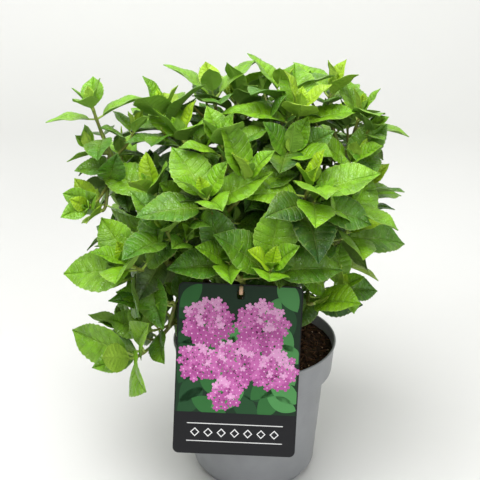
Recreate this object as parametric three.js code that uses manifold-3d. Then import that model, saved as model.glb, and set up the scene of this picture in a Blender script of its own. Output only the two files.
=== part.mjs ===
// Hydrangea shrub in its nursery pot, with its hanging plant card.
// Millimetres, +Z up. The origin is the centre of the pot's flat underside, and the card hangs
// on the -Y side. A bearing is counted from +X towards +Y, in degrees.
import * as THREE from "three";
import { mergeVertices } from "three/addons/utils/BufferGeometryUtils.js";
import Module from "manifold-3d";

const wasm = await Module();
wasm.setup();

const DEG = Math.PI / 180;
const UP = new THREE.Vector3(0, 0, 1);
const GAP = 0.3; // clearance between pieces that touch
const SAME_POINT = 1e-4; // corners nearer than this are one
const PARALLEL = 1e-9; // a line and a triangle with a product under this don't meet

// The pot: a thin moulded wall on a narrower foot, with a wide collar under the rim.
const POT = {
  height: 187,
  rimRadius: 105,
  collarHeight: 40,
  collarRadius: 100.5,
  wallTopRadius: 91,
  wallFootRadius: 80,
  footRadius: 72,
  footHeight: 11.5,
  footDraft: 1, // how much wider the foot is at its top
  wall: 1.8,
  floor: 3,
  segments: 36,
  drainSlots: 8,
  drainWidth: 20,
  drainHeight: 8.5,
  drainDepth: 12, // half of it lies inside the foot's outer face
};

// The soil fills the pot, clear of its wall by more than GAP, because both have flat sides.
const SOIL = { top: 174, segments: 24, clear: 0.5, bevel: 8, draft: 2.8 };

// The woody foot that all limbs leave from, with its flare on the soil.
const STOCK = {
  flareRadius: 25,
  neckRadius: 15,
  headRadius: 11,
  height: 36,
  neckFrom: 0.3, // shares of its height between which it is a plain neck
  neckTo: 0.7,
  segments: 12,
  limbReach: 9, // how far from its axis the main limbs start
  limbRise: 0.62, // and how far up, as a share of its height
};

// The printed card, hung by its slot from a pruned twig and leaning on the pot's rim.
const CARD = {
  width: 148,
  height: 210,
  thickness: 0.8,
  corner: 7,
  lean: 15,
  turn: -2.6,
  across: -22,
  above: 9.5,
  slotWidth: 9,
  slotHeight: 13,
  slotFromTop: 5,
  slotFlat: 0.4, // flat part of the slot's rounded ends
};
const STUB = { foot: 2.8, tip: 2.6, sides: 6, stations: 4, proud: 7, belowTip: 16 };

// Limbs: radii at the foot and at the tip of a main limb, a side limb and a leafy twig.
const MAIN_LIMB = { foot: 5.6, tip: 3.2, sides: 6, stations: 6 };
const SIDE_LIMB = { foot: 4.4, tip: 3, sides: 5, stations: 5 };
const TWIG = { foot: 3, tip: 1.9, sides: 3, stations: 4 };
const LINE_STEPS = 24; // straight steps in the middle line of a limb
const RING_TILT = 0.3; // keeps the rings of a limb from turning as it climbs
const HANDLE = 0.4; // how far a middle line keeps its first direction, as a share of its span
const STEM_LENGTH = 105; // how far down from its tip a mass's own stem may start
const LIMB_END = { least: 20, step: 5, ahead: 8, shortest: 30 }; // how a limb's end is looked for
const FORK_BELOW_TIP = 62; // where a mass's other shoots leave its leading one
const SITES_BELOW_TIP = [0, 40, 80]; // the points of a shoot that hold its space
const BOW_OUT = 1.1; // how much more than straight to its tip a main limb leans at its foot
const MOST_LEAN = 62;
const LEAN_AT_FOOT = 66; // how far a tip leans out at the height of the rim, in degrees
const LEAN_AT_TOP = 10;
const CROWN_TOP = 520; // the height of the highest tip
const TO_THE_LIGHT = 0.5; // how far leaves turn from their shoot towards upright

// Leaves stand in opposite pairs, each pair a quarter turn from the one above it.
// below: how far the pair is under its tip; size: times the shoot's leaf length;
// open: angle from the shoot to the leaf, in degrees; curl: how much more it bends by its end.
const LEAF_PAIRS = [
  { below: 3, size: 0.62, open: 24, curl: 14 },
  { below: 8, size: 0.94, open: 44, curl: 24 },
  { below: 17, size: 1.0, open: 66, curl: 30 },
  { below: 40, size: 1.0, open: 84, curl: 34 },
  { below: 68, size: 0.92, open: 96, curl: 36 },
  { below: 96, size: 0.8, open: 102, curl: 36 },
];
const LEAF = {
  breadth: 0.66, // of the blade's length
  petiole: 0.17, // of the blade's length
  stalk: 1, // half the breadth of the stalk
  fold: 20, // rise of each half from the midrib, in degrees
  thickness: 1.3,
  rows: [0.36, 0.72], // shares of the blade at which its breadth is drawn
  foot: 0.1, // share of the blade from which it is tested for cutting through other leaves
  near: 0.6, // how far from its middle it reaches, as a share of its length
  swell: [0.6, 0.78, 2.57], // powers of its outline at the stalk and the tip, and their scale
  tests: [0.12, 0.36, 0.6, 0.84], // and at which it is tested against what is near it
};
// How much the leaves differ: turn, open, curl and fold in degrees, the others as shares.
const VARIETY = { below: 0.12, turn: 13, size: 0.12, open: 9, curl: 14, fold: 8 };
// A leaf that would leave its mass's space or touch a limb is tried again in these ways,
// one after another, and is left out if none of them fits.
const LEAF_TRIES = [
  { open: 0, turn: 0, size: 1 },
  { open: -14, turn: 0, size: 1 },
  { open: 0, turn: 16, size: 1 },
  { open: 0, turn: -16, size: 1 },
  { open: -16, turn: 18, size: 0.95 },
  { open: -16, turn: -18, size: 0.95 },
  { open: -30, turn: 0, size: 0.92 },
  { open: 16, turn: 0, size: 0.9 },
  { open: 10, turn: 30, size: 0.9 },
  { open: 10, turn: -30, size: 0.9 },
  { open: 0, turn: 0, size: 0.78 },
  { open: -22, turn: 0, size: 0.74 },
  { open: -10, turn: 24, size: 0.66 },
  { open: -10, turn: -24, size: 0.66 },
];
const SPACE_GAP = 2.4; // how much nearer a leaf stays to its own shoots than to any others
const LIMB_GAP = 3.5; // how far a leaf keeps from the bark of every limb
const CARD_GAP = 5; // from the card
const POT_GAP = 4; // and from the pot

// A shoot of a mass: bearing, reach and height of its tip, the bearing of its widest leaf pair
// and the length of its longest leaf blade.
const shoot = (bearing, reach, height, turn, leaf) => ({ bearing, reach, height, turn, leaf });

// The foliage masses. Each grows on the tip of its own limb. A main limb leaves the stock at
// the bearing in foot, and a side limb leaves the limb named in from, at a share of its length.
// out and tilt set how far it leans at its start and its tips, where that isn't as usual, and
// stem how far its own stem reaches down.
const MASSES = [
  {
    name: "left_tall",
    foot: 211,
    shoots: [shoot(183, 192, 498, 4, 50), shoot(194, 192, 384, 170, 46), shoot(184, 196, 446, 140, 36)],
  },
  {
    name: "upper_left",
    foot: 160,
    shoots: [shoot(190, 88, 459, 25, 68), shoot(172, 114, 478, 165, 70), shoot(204, 132, 404, 60, 68)],
  },
  {
    name: "top",
    foot: 109,
    shoots: [shoot(150, 60, 502, 94, 66), shoot(112, 64, 486, 70, 60)],
  },
  {
    name: "top_right",
    foot: 313,
    shoots: [shoot(333, 55, 493, 2, 70), shoot(25, 36, 510, 60, 60), shoot(305, 68, 452, 50, 64)],
  },
  {
    name: "right_top",
    foot: 7,
    shoots: [shoot(7, 126, 478, 12, 58), shoot(24, 100, 500, 50, 60), shoot(350, 114, 432, 70, 56)],
  },
  {
    name: "front",
    foot: 262,
    out: 12,
    tilt: 46,
    stem: 90,
    shoots: [shoot(256, 129, 349, 10, 66), shoot(276, 142, 347, 4, 72)],
  },
  {
    name: "back",
    foot: 58,
    shoots: [shoot(96, 118, 466, 20, 66), shoot(76, 130, 428, 60, 66)],
  },
  {
    name: "left_front",
    from: "left_tall",
    at: 0.36,
    shoots: [shoot(212, 171, 330, 8, 76), shoot(200, 160, 296, 55, 68), shoot(224, 144, 378, 40, 62)],
  },
  {
    name: "left_low",
    from: "left_tall",
    at: 0.2,
    tilt: 100,
    shoots: [shoot(211, 174, 204, 16, 78), shoot(219, 134, 276, 50, 74)],
  },
  {
    name: "back_left_low",
    from: "left_tall",
    at: 0.28,
    shoots: [shoot(156, 176, 330, 28, 70), shoot(140, 160, 268, 70, 68)],
  },
  {
    name: "back_left",
    from: "upper_left",
    at: 0.4,
    shoots: [shoot(139, 150, 434, 50, 68), shoot(158, 172, 400, 10, 64)],
  },
  {
    name: "front_upper",
    from: "top",
    at: 0.38,
    shoots: [shoot(245, 132, 421, 22, 70), shoot(264, 106, 439, 25, 70), shoot(242, 85, 472, 32, 56)],
  },
  {
    name: "front_right",
    from: "top_right",
    at: 0.42,
    shoots: [shoot(299, 120, 431, 15, 72), shoot(322, 120, 396, 60, 64)],
  },
  {
    name: "right",
    from: "right_top",
    at: 0.4,
    shoots: [shoot(335, 120, 354, 4, 68), shoot(355, 130, 396, 30, 56), shoot(4, 130, 326, 70, 56)],
  },
  {
    name: "back_right",
    from: "right_top",
    at: 0.44,
    shoots: [shoot(44, 142, 436, 40, 68), shoot(60, 156, 388, 5, 68)],
  },
  {
    name: "right_low",
    from: "right_top",
    at: 0.22,
    shoots: [shoot(322, 124, 294, 10, 54), shoot(305, 118, 284, 60, 68)],
  },
  {
    name: "back_right_low",
    from: "back",
    at: 0.2,
    shoots: [shoot(40, 148, 332, 30, 68), shoot(26, 124, 272, 75, 62)],
  },
  {
    name: "back_low",
    from: "back",
    at: 0.3,
    shoots: [shoot(98, 170, 346, 15, 70), shoot(84, 166, 276, 60, 68)],
  },
];

// Colours as a look at the plant gives them, and how rough each finish is.
const FINISHES = {
  pot: { color: 0x97989b, roughness: 0.55 },
  soil: { color: 0x473627, roughness: 0.95 },
  bark: { color: 0x5c4a2c, roughness: 0.8 },
  leaf: { color: 0x6a9a24, roughness: 0.5 },
  card: { color: 0x42424a, roughness: 0.35 },
};

const group = new THREE.Group();

// Adds one named piece with a material of its own.
function addPiece(name, geometry, finish) {
  const material = new THREE.MeshStandardMaterial({ ...finish, metalness: 0 });
  const mesh = new THREE.Mesh(geometry, material);
  mesh.name = name;
  group.add(mesh);
  return mesh;
}

// A closed geometry as a solid that can be joined and cut.
function solidOf(geometry) {
  const bare = new THREE.BufferGeometry();
  bare.setAttribute("position", geometry.getAttribute("position"));
  bare.setIndex(geometry.getIndex());
  const merged = mergeVertices(bare, SAME_POINT);
  const corners = merged.getIndex().array;
  const kept = [];
  for (let i = 0; i < corners.length; i += 3) {
    const [a, b, c] = [corners[i], corners[i + 1], corners[i + 2]];
    if (a !== b && b !== c && c !== a) kept.push(a, b, c);
  }
  return new wasm.Manifold(
    new wasm.Mesh({
      numProp: 3,
      vertProperties: new Float32Array(merged.getAttribute("position").array),
      triVerts: new Uint32Array(kept),
    }),
  );
}

// Points and triangles as a solid.
function solidFrom(points, triangles) {
  const geometry = new THREE.BufferGeometry();
  const flat = points.flatMap((p) => [p.x, p.y, p.z]);
  geometry.setAttribute("position", new THREE.Float32BufferAttribute(flat, 3));
  geometry.setIndex(triangles.flat());
  return solidOf(geometry);
}

// The solid's largest body as a geometry. Loose scraps and sealed hollows are dropped.
function geometryOf(solid) {
  const bodies = solid.decompose();
  const body = bodies.reduce((best, next) => (next.volume() > best.volume() ? next : best));
  const mesh = body.getMesh();
  const geometry = new THREE.BufferGeometry();
  geometry.setAttribute("position", new THREE.BufferAttribute(mesh.vertProperties, 3));
  geometry.setIndex(new THREE.BufferAttribute(mesh.triVerts, 1));
  return geometry;
}

// A turned solid from its profile: pairs of radius and height, outer side upwards.
function turned(profile, segments) {
  const points = profile.map(([radius, height]) => new THREE.Vector2(radius, height));
  return new THREE.LatheGeometry(points, segments).rotateX(Math.PI / 2);
}

// Pot

function potProfile() {
  const { wall, floor, height } = POT;
  const collarFoot = height - POT.collarHeight;
  const footTop = POT.footRadius + POT.footDraft;
  return [
    [0, 0],
    [POT.footRadius, 0],
    [footTop, POT.footHeight],
    [POT.wallFootRadius, POT.footHeight],
    [POT.wallTopRadius, collarFoot],
    [POT.collarRadius, collarFoot],
    [POT.rimRadius, height],
    [POT.rimRadius - wall, height],
    [POT.collarRadius - wall, collarFoot + wall],
    [POT.wallTopRadius - wall, collarFoot + wall],
    [POT.wallFootRadius - wall, POT.footHeight + wall],
    [footTop - wall, POT.footHeight + wall],
    [POT.footRadius - wall, floor],
    [0, floor],
  ];
}

// One drain slot through the lower edge of the foot, at a bearing.
function drainSlot(bearing) {
  const box = new THREE.BoxGeometry(POT.drainDepth, POT.drainWidth, 2 * POT.drainHeight);
  box.translate(POT.footRadius, 0, 0);
  return solidOf(box.rotateZ(bearing * DEG));
}

function buildPot() {
  let pot = solidOf(turned(potProfile(), POT.segments));
  for (let i = 0; i < POT.drainSlots; i++) {
    pot = pot.subtract(drainSlot(((i + 0.5) * 360) / POT.drainSlots));
  }
  addPiece("pot", geometryOf(pot), FINISHES.pot);
}

// Soil, clear of the pot's inside all round

function buildSoil() {
  const inset = POT.wall + SOIL.clear;
  const ledge = POT.height - POT.collarHeight + POT.wall + GAP;
  const profile = [
    [0, POT.floor + GAP],
    [POT.footRadius - inset - SOIL.bevel, POT.floor + GAP],
    [POT.footRadius - inset, POT.footHeight + POT.wall + GAP],
    [POT.wallFootRadius - inset, POT.footHeight + POT.wall + GAP],
    [POT.wallTopRadius - inset, ledge],
    [POT.collarRadius - inset, ledge],
    [POT.collarRadius - inset + SOIL.draft, SOIL.top],
    [0, SOIL.top],
  ];
  addPiece("soil", turned(profile, SOIL.segments), FINISHES.soil);
}

// Woody stock on the soil. grown widens it, to cut what leaves it clear of it.

function stockGeometry(grown) {
  const foot = SOIL.top + GAP;
  const { flareRadius, neckRadius, neckFrom, neckTo, headRadius, height } = STOCK;
  const profile = [
    [0, foot - grown],
    [flareRadius + grown, foot - grown],
    [neckRadius + grown, foot + height * neckFrom],
    [neckRadius + grown, foot + height * neckTo],
    [headRadius + grown, foot + height + grown],
    [0, foot + height + grown],
  ];
  return turned(profile, STOCK.segments);
}

// Middle lines of limbs

// The point at a bearing and reach from the pot's axis, at a height.
function place(bearing, reach, height) {
  const angle = bearing * DEG;
  return new THREE.Vector3(reach * Math.cos(angle), reach * Math.sin(angle), height);
}

// The direction that leans out by lean degrees towards a bearing.
function leaning(bearing, lean) {
  return place(bearing, Math.sin(lean * DEG), Math.cos(lean * DEG));
}

// A smooth line from one point to another, with the directions in which it leaves and arrives.
function middleLine(from, leaving, to, arriving) {
  const span = from.distanceTo(to);
  const curve = new THREE.CubicBezierCurve3(
    from,
    from.clone().addScaledVector(leaving, span * HANDLE),
    to.clone().addScaledVector(arriving, -span * HANDLE),
    to,
  );
  const points = curve.getPoints(LINE_STEPS);
  const lengths = [0];
  for (let i = 1; i < points.length; i++) {
    lengths.push(lengths[i - 1] + points[i].distanceTo(points[i - 1]));
  }
  return { points, lengths, length: lengths[LINE_STEPS] };
}

// The point and the direction at a distance along a middle line.
function alongLine(line, distance) {
  const s = Math.min(Math.max(distance, 0), line.length);
  let i = 1;
  while (i < LINE_STEPS && line.lengths[i] < s) i++;
  const step = line.lengths[i] - line.lengths[i - 1];
  const share = (s - line.lengths[i - 1]) / step;
  const point = line.points[i - 1].clone().lerp(line.points[i], share);
  const direction = line.points[i].clone().sub(line.points[i - 1]).normalize();
  return { point, direction };
}

// How far a tip leans out: low tips lie outwards, high ones stand up.
function leanAt(height) {
  const share = (height - POT.height) / (CROWN_TOP - POT.height);
  return LEAN_AT_FOOT + (LEAN_AT_TOP - LEAN_AT_FOOT) * share;
}

// The radius of a limb at a share of its length.
const taper = (size, share) => size.foot + (size.tip - size.foot) * share;

// A round limb between two distances along a middle line. grown widens it.
function limbSolid(line, start, end, size, grown = 0) {
  const points = [];
  const triangles = [];
  const { sides, stations } = size;
  for (let k = 0; k <= stations; k++) {
    const share = k / stations;
    const { point, direction } = alongLine(line, start + (end - start) * share);
    const across = new THREE.Vector3(direction.z, RING_TILT, -direction.x).cross(direction).normalize();
    const over = direction.clone().cross(across);
    const radius = taper(size, share) + grown;
    for (let i = 0; i < sides; i++) {
      const angle = (i / sides) * 2 * Math.PI;
      const rim = point.clone().addScaledVector(across, radius * Math.cos(angle));
      points.push(rim.addScaledVector(over, radius * Math.sin(angle)));
    }
  }
  for (let k = 0; k < stations; k++) {
    for (let i = 0; i < sides; i++) {
      const [a, b] = [k * sides + i, k * sides + ((i + 1) % sides)];
      triangles.push([a, b, b + sides], [a, b + sides, a + sides]);
    }
  }
  const last = stations * sides;
  for (let i = 1; i < sides - 1; i++) {
    triangles.push([0, i + 1, i], [last, last + i, last + i + 1]);
  }
  return solidFrom(points, triangles);
}

// The plan: where every limb and shoot runs, worked out before any leaf is placed

const plans = new Map();

// The limb and the leading stem of a mass run on one middle line, from where it leaves to
// the tip of its first shoot. The other shoots leave that line part of the way up.
function planMass(mass, index) {
  const [lead, ...others] = mass.shoots;
  const tip = place(lead.bearing, lead.reach, lead.height);
  let from = place(mass.foot, STOCK.limbReach, SOIL.top + STOCK.height * STOCK.limbRise);
  let leaving = leaning(mass.foot, mass.out ?? leadLean(lead));
  if (mass.from) {
    const parent = plans.get(mass.from);
    const fork = alongLine(parent.line, parent.line.length * mass.at);
    from = fork.point;
    const outward = tip.clone().sub(from).normalize();
    leaving = fork.direction.clone().add(outward).normalize();
  }
  const arriving = leaning(lead.bearing, mass.tilt ?? leanAt(lead.height));
  const line = middleLine(from, leaving, tip, arriving);
  const plan = { mass, index, line, size: mass.from ? SIDE_LIMB : MAIN_LIMB };
  plan.shoots = [{ ...lead, line }];
  for (const other of others) {
    const end = place(other.bearing, other.reach, other.height);
    const joint = alongLine(line, line.length - FORK_BELOW_TIP);
    const way = leaning(other.bearing, mass.tilt ?? leanAt(other.height));
    const out = end.clone().sub(joint.point).normalize();
    const side = middleLine(joint.point, out, end, way);
    plan.shoots.push({ ...other, line: side });
  }
  plan.sites = plan.shoots.flatMap(({ line: own }) =>
    SITES_BELOW_TIP.filter((back) => back < own.length).map(
      (back) => alongLine(own, own.length - back).point,
    ),
  );
  plans.set(mass.name, plan);
}

// How far a main limb leans as it leaves the stock.
function leadLean(lead) {
  const straight = Math.atan2(lead.reach, lead.height - SOIL.top) / DEG;
  return Math.min(straight * BOW_OUT, MOST_LEAN);
}

// Whether a point is in the space of a mass: nearer to its own shoots than to any others.
function inSpace(point, plan) {
  let own = Infinity;
  let other = Infinity;
  for (const rival of plans.values()) {
    for (const site of rival.sites) {
      const distance = point.distanceTo(site);
      if (rival === plan) own = Math.min(own, distance);
      else other = Math.min(other, distance);
    }
  }
  return own + SPACE_GAP < other;
}

// The limb ends where its middle line comes into the mass's own space.
function planLimbEnd(plan) {
  const { line } = plan;
  const most = Math.min(plan.mass.stem ?? STEM_LENGTH, line.length - LIMB_END.shortest);
  let back = LIMB_END.least;
  while (back < most) {
    if (!inSpace(alongLine(line, line.length - back - LIMB_END.ahead).point, plan)) break;
    back += LIMB_END.step;
  }
  plan.limbEnd = line.length - back;
}

// The middle line of the pruned twig that the card hangs on, from the front limb through the
// card's slot.
function stubLine() {
  const front = plans.get("front");
  const fork = alongLine(front.line, front.limbEnd - STUB.belowTip);
  const { face } = cardFrame();
  const tip = stubPoint().addScaledVector(face, STUB.proud);
  return middleLine(fork.point, fork.direction.clone().add(face).normalize(), tip, face);
}

// The distance from a point to the bark of the nearest limb.
function clearOfLimbs(point) {
  let nearest = Infinity;
  const stub = { line: stubLine(), limbEnd: Infinity, size: STUB };
  for (const { line, limbEnd, size } of [...plans.values(), stub]) {
    for (let i = 0; i < LINE_STEPS && line.lengths[i] < limbEnd; i++) {
      const segment = new THREE.Line3(line.points[i], line.points[i + 1]);
      const foot = segment.closestPointToPoint(point, true, new THREE.Vector3());
      const radius = taper(size, line.lengths[i] / limbEnd);
      nearest = Math.min(nearest, foot.distanceTo(point) - radius);
    }
  }
  return nearest;
}

// Card

// The card's frame: its centre, its face's direction and its two edges' directions.
function cardFrame() {
  const lean = CARD.lean * DEG;
  const face = new THREE.Vector3(0, -Math.cos(lean), Math.sin(lean));
  const slope = new THREE.Vector3(0, Math.sin(lean), Math.cos(lean));
  const right = new THREE.Vector3(1, 0, 0).applyAxisAngle(face, CARD.turn * DEG);
  const top = slope.clone().applyAxisAngle(face, CARD.turn * DEG);
  const off = CARD.thickness / 2 + GAP;
  const centre = new THREE.Vector3(CARD.across, -POT.rimRadius, POT.height);
  centre.addScaledVector(slope, CARD.above).addScaledVector(face, off);
  return { face, right, top, centre };
}

// The middle of the slot's upper half, where the stub passes through.
function stubPoint() {
  const { centre, top } = cardFrame();
  const rise = CARD.height / 2 - CARD.slotFromTop - STUB.foot - 2 * GAP;
  return centre.clone().addScaledVector(top, rise);
}

// Whether a point is on the card, close to it or in front of its face.
function nearCard(point) {
  const { face, right, top, centre } = cardFrame();
  const offset = point.clone().sub(centre);
  const across = Math.abs(offset.dot(right)) < CARD.width / 2 + CARD_GAP;
  const along = offset.dot(top) < CARD.height / 2 + CARD_GAP;
  const off = offset.dot(face);
  return across && along && off > -CARD_GAP;
}

// Whether a point is in the pot or too near its rim or the soil.
function nearPot(point) {
  const radius = Math.hypot(point.x, point.y);
  return radius < POT.rimRadius + POT_GAP && point.z < POT.height + POT_GAP;
}

function roundedRectangle(path, x, y, width, height, corner) {
  path.moveTo(x + corner, y);
  path.lineTo(x + width - corner, y);
  path.absarc(x + width - corner, y + corner, corner, -Math.PI / 2, 0);
  path.lineTo(x + width, y + height - corner);
  path.absarc(x + width - corner, y + height - corner, corner, 0, Math.PI / 2);
  path.lineTo(x + corner, y + height);
  path.absarc(x + corner, y + height - corner, corner, Math.PI / 2, Math.PI);
  path.lineTo(x, y + corner);
  path.absarc(x + corner, y + corner, corner, Math.PI, 1.5 * Math.PI);
  return path;
}

function buildCard() {
  const { width, height, thickness, corner, slotWidth, slotHeight, slotFromTop, slotFlat } = CARD;
  const outline = roundedRectangle(new THREE.Shape(), -width / 2, -height / 2, width, height, corner);
  const slotFoot = height / 2 - slotFromTop - slotHeight;
  const slot = new THREE.Path();
  const slotCorner = (slotWidth - slotFlat) / 2;
  roundedRectangle(slot, -slotWidth / 2, slotFoot, slotWidth, slotHeight, slotCorner);
  outline.holes.push(slot);
  const settings = { depth: thickness, bevelEnabled: false, curveSegments: 3 };
  const plate = new THREE.ExtrudeGeometry(outline, settings).translate(0, 0, -thickness / 2);
  const { face, right, top, centre } = cardFrame();
  const card = addPiece("plant_card", plate, FINISHES.card);
  card.quaternion.setFromRotationMatrix(new THREE.Matrix4().makeBasis(right, top, face));
  card.position.copy(centre);
}

// Leaves

// A number from 0 up to 1 that looks random but is the same every time.
function chance(a, b, c) {
  const value = Math.sin(a * 127.1 + b * 311.7 + c * 74.7) * 43758.5453;
  return value - Math.floor(value);
}

// The same, spread evenly about zero.
const spread = (a, b, c, most) => (2 * chance(a, b, c) - 1) * most;

// The place, direction and upper side of a leaf at a distance along its midrib. The angle
// to the shoot grows evenly with that distance, so the midrib is an arc.
function alongLeaf(leaf, distance) {
  const { root, shaft, outward, open, curl, reach } = leaf;
  const bend = curl / reach;
  const angle = open + bend * distance;
  const point = root.clone();
  point.addScaledVector(shaft, (Math.sin(angle) - Math.sin(open)) / bend);
  point.addScaledVector(outward, (Math.cos(open) - Math.cos(angle)) / bend);
  const direction = shaft.clone().multiplyScalar(Math.cos(angle));
  direction.addScaledVector(outward, Math.sin(angle));
  const upper = shaft.clone().multiplyScalar(Math.sin(angle));
  upper.addScaledVector(outward, -Math.cos(angle));
  const side = direction.clone().cross(upper);
  return { point, direction, upper, side };
}

// Half the breadth of a leaf at a share of its blade: widest below the middle, pointed tip.
// The scale brings the widest place to one.
function halfBreadth(leaf, share) {
  const [stalk, tip, scale] = LEAF.swell;
  const swell = scale * Math.pow(share, stalk) * Math.pow(1 - share, tip);
  return (leaf.blade * LEAF.breadth * swell) / 2;
}

// The left edge, midrib and right edge of a leaf at a share of its blade.
function leafRow(leaf, share) {
  const { point, upper, side } = alongLeaf(leaf, leaf.petiole + leaf.blade * share);
  const half = Math.max(halfBreadth(leaf, share), LEAF.stalk);
  const rise = half * Math.sin(leaf.fold);
  const reach = half * Math.cos(leaf.fold);
  const left = point.clone().addScaledVector(upper, rise).addScaledVector(side, -reach);
  const right = point.clone().addScaledVector(upper, rise).addScaledVector(side, reach);
  return { left, middle: point, right, upper };
}

// One leaf of a pair, before it is known whether it fits. The shaft is the shoot's direction,
// turned half way to upright, because the leaves turn to the light.
function leafPlan(plan, shootIndex, pairIndex, hand, attempt) {
  const stem = plan.shoots[shootIndex];
  const pair = LEAF_PAIRS[pairIndex];
  const key = plan.index * 10 + shootIndex;
  const seat = pairIndex * 2 + hand;
  const back = pair.below + spread(key, pairIndex, 1, pair.below * VARIETY.below);
  const { point, direction } = alongLine(stem.line, stem.line.length - back);
  const shaft = direction.clone().addScaledVector(UP, TO_THE_LIGHT).normalize();
  const widest = 2; // the pair whose bearing the shoot's turn gives
  const usual = stem.turn + 90 * (pairIndex - widest) + 180 * hand;
  const bearing = usual + spread(key, seat, 2, VARIETY.turn) + attempt.turn;
  const flat = place(bearing, 1, 0);
  const outward = flat.addScaledVector(shaft, -flat.dot(shaft)).normalize();
  const blade = stem.leaf * pair.size * (1 + spread(key, seat, 3, VARIETY.size)) * attempt.size;
  const petiole = blade * LEAF.petiole;
  const leaf = {
    stem,
    root: point,
    shaft,
    outward,
    blade,
    petiole,
    reach: blade + petiole,
    open: (pair.open + spread(key, seat, 4, VARIETY.open) + attempt.open) * DEG,
    curl: (pair.curl + spread(key, seat, 5, VARIETY.curl)) * DEG,
    fold: (LEAF.fold + spread(key, seat, 6, VARIETY.fold)) * DEG,
  };
  leaf.blades = { ...bladeFaces(leaf), size: leaf.reach * LEAF.near };
  return leaf;
}

// A leaf's upper side as triangles and edges, from near its stalk to its tip.
function bladeFaces(leaf) {
  const rows = [LEAF.foot, ...LEAF.rows].map((share) => leafRow(leaf, share));
  const tip = alongLeaf(leaf, leaf.reach).point;
  const faces = [];
  const edges = [];
  rows.forEach(({ left, middle, right }, i) => {
    edges.push([left, middle], [middle, right]);
    const next = rows[i + 1] ?? { left: tip, middle: tip, right: tip };
    edges.push([left, next.left], [middle, next.middle], [right, next.right]);
    faces.push([left, middle, next.middle], [middle, right, next.middle]);
    if (rows[i + 1]) faces.push([left, next.middle, next.left], [right, next.right, next.middle]);
  });
  return { faces, edges, middle: alongLeaf(leaf, leaf.reach / 2).point };
}

// Whether the line between two points goes through a triangle.
function pierces([from, to], [a, b, c]) {
  const way = to.clone().sub(from);
  const ab = b.clone().sub(a);
  const ac = c.clone().sub(a);
  const across = way.clone().cross(ac);
  const scale = ab.dot(across);
  if (Math.abs(scale) < PARALLEL) return false;
  const offset = from.clone().sub(a);
  const u = offset.dot(across) / scale;
  if (u < 0 || u > 1) return false;
  const turned = offset.cross(ab);
  const v = way.dot(turned) / scale;
  if (v < 0 || u + v > 1) return false;
  const along = ac.dot(turned) / scale;
  return along > 0 && along < 1;
}

// Whether two leaves cut through each other.
function bladesCross(one, two) {
  if (one.middle.distanceTo(two.middle) > one.size + two.size) return false;
  const hit = (first, second) =>
    first.edges.some((edge) => second.faces.some((face) => pierces(edge, face)));
  return hit(one, two) || hit(two, one);
}

// The distance from a point to the middle line of a shoot.
function fromShoot(point, { line }) {
  let nearest = Infinity;
  for (let i = 0; i < LINE_STEPS; i++) {
    const segment = new THREE.Line3(line.points[i], line.points[i + 1]);
    const foot = segment.closestPointToPoint(point, true, new THREE.Vector3());
    nearest = Math.min(nearest, foot.distanceTo(point));
  }
  return nearest;
}

// Whether a leaf keeps to its mass's space and clear of the limbs, the card, the pot, the
// other shoots of its mass and the leaves that are there already.
function leafFits(leaf, plan, placed) {
  const tests = [alongLeaf(leaf, leaf.reach).point];
  for (const share of LEAF.tests) {
    const { left, middle, right } = leafRow(leaf, share);
    tests.push(left, middle, right, left.clone().lerp(middle, 0.5), right.clone().lerp(middle, 0.5));
  }
  const others = plan.shoots.filter((stem) => stem !== leaf.stem);
  const free = tests.every(
    (p) =>
      inSpace(p, plan) &&
      clearOfLimbs(p) > LIMB_GAP &&
      !nearCard(p) &&
      !nearPot(p) &&
      others.every((stem) => fromShoot(p, stem) > LIMB_GAP),
  );
  return free && !placed.some((other) => bladesCross(leaf.blades, other.blades));
}

// A leaf as one closed solid: an upright edge inside its twig, which widens into two folded
// half blades with a flat rib under them.
function leafSolid(leaf) {
  const { point: root, upper: above } = alongLeaf(leaf, 0);
  const half = LEAF.thickness / 2;
  const points = [
    root.clone().addScaledVector(above, half),
    root.clone().addScaledVector(above, -half),
  ];
  for (const share of LEAF.rows) {
    const { left, middle, right, upper } = leafRow(leaf, share);
    points.push(left, middle, right, middle.clone().addScaledVector(upper, -LEAF.thickness));
  }
  points.push(alongLeaf(leaf, leaf.reach).point);
  const stalk = [[0, 3, 2], [0, 4, 3], [0, 2, 1], [4, 0, 1], [1, 2, 5], [1, 5, 4]];
  const top = [[2, 3, 7], [2, 7, 6], [3, 4, 8], [3, 8, 7], [6, 7, 10], [7, 8, 10]];
  const underside = [[2, 9, 5], [2, 6, 9], [5, 8, 4], [5, 9, 8], [6, 10, 9], [9, 10, 8]];
  return solidFrom(points, [...stalk, ...top, ...underside]);
}

// All leaves of one mass that fit, in the order in which they grow.
function leavesOf(plan) {
  const leaves = [];
  plan.shoots.forEach((stem, shootIndex) => {
    const leafy = shootIndex === 0 ? stem.line.length - plan.limbEnd : stem.line.length;
    LEAF_PAIRS.forEach((pair, pairIndex) => {
      if (pair.below * (1 + VARIETY.below) > leafy - LIMB_END.ahead) return;
      for (const hand of [0, 1]) {
        const fitting = LEAF_TRIES.map((attempt) =>
          leafPlan(plan, shootIndex, pairIndex, hand, attempt),
        ).find((leaf) => leafFits(leaf, plan, leaves));
        if (fitting) leaves.push(fitting);
      }
    });
  });
  return leaves;
}

// A mass: its stem and side twigs with the leaves fused on.
function buildMass(plan) {
  const { line, limbEnd } = plan;
  let solid = limbSolid(line, limbEnd + GAP, line.length, TWIG);
  for (const side of plan.shoots.slice(1)) {
    solid = solid.add(limbSolid(side.line, 0, side.line.length, TWIG));
  }
  for (const leaf of leavesOf(plan)) solid = solid.add(leafSolid(leaf));
  addPiece("leaves_" + plan.mass.name, geometryOf(solid), FINISHES.leaf);
}

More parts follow.
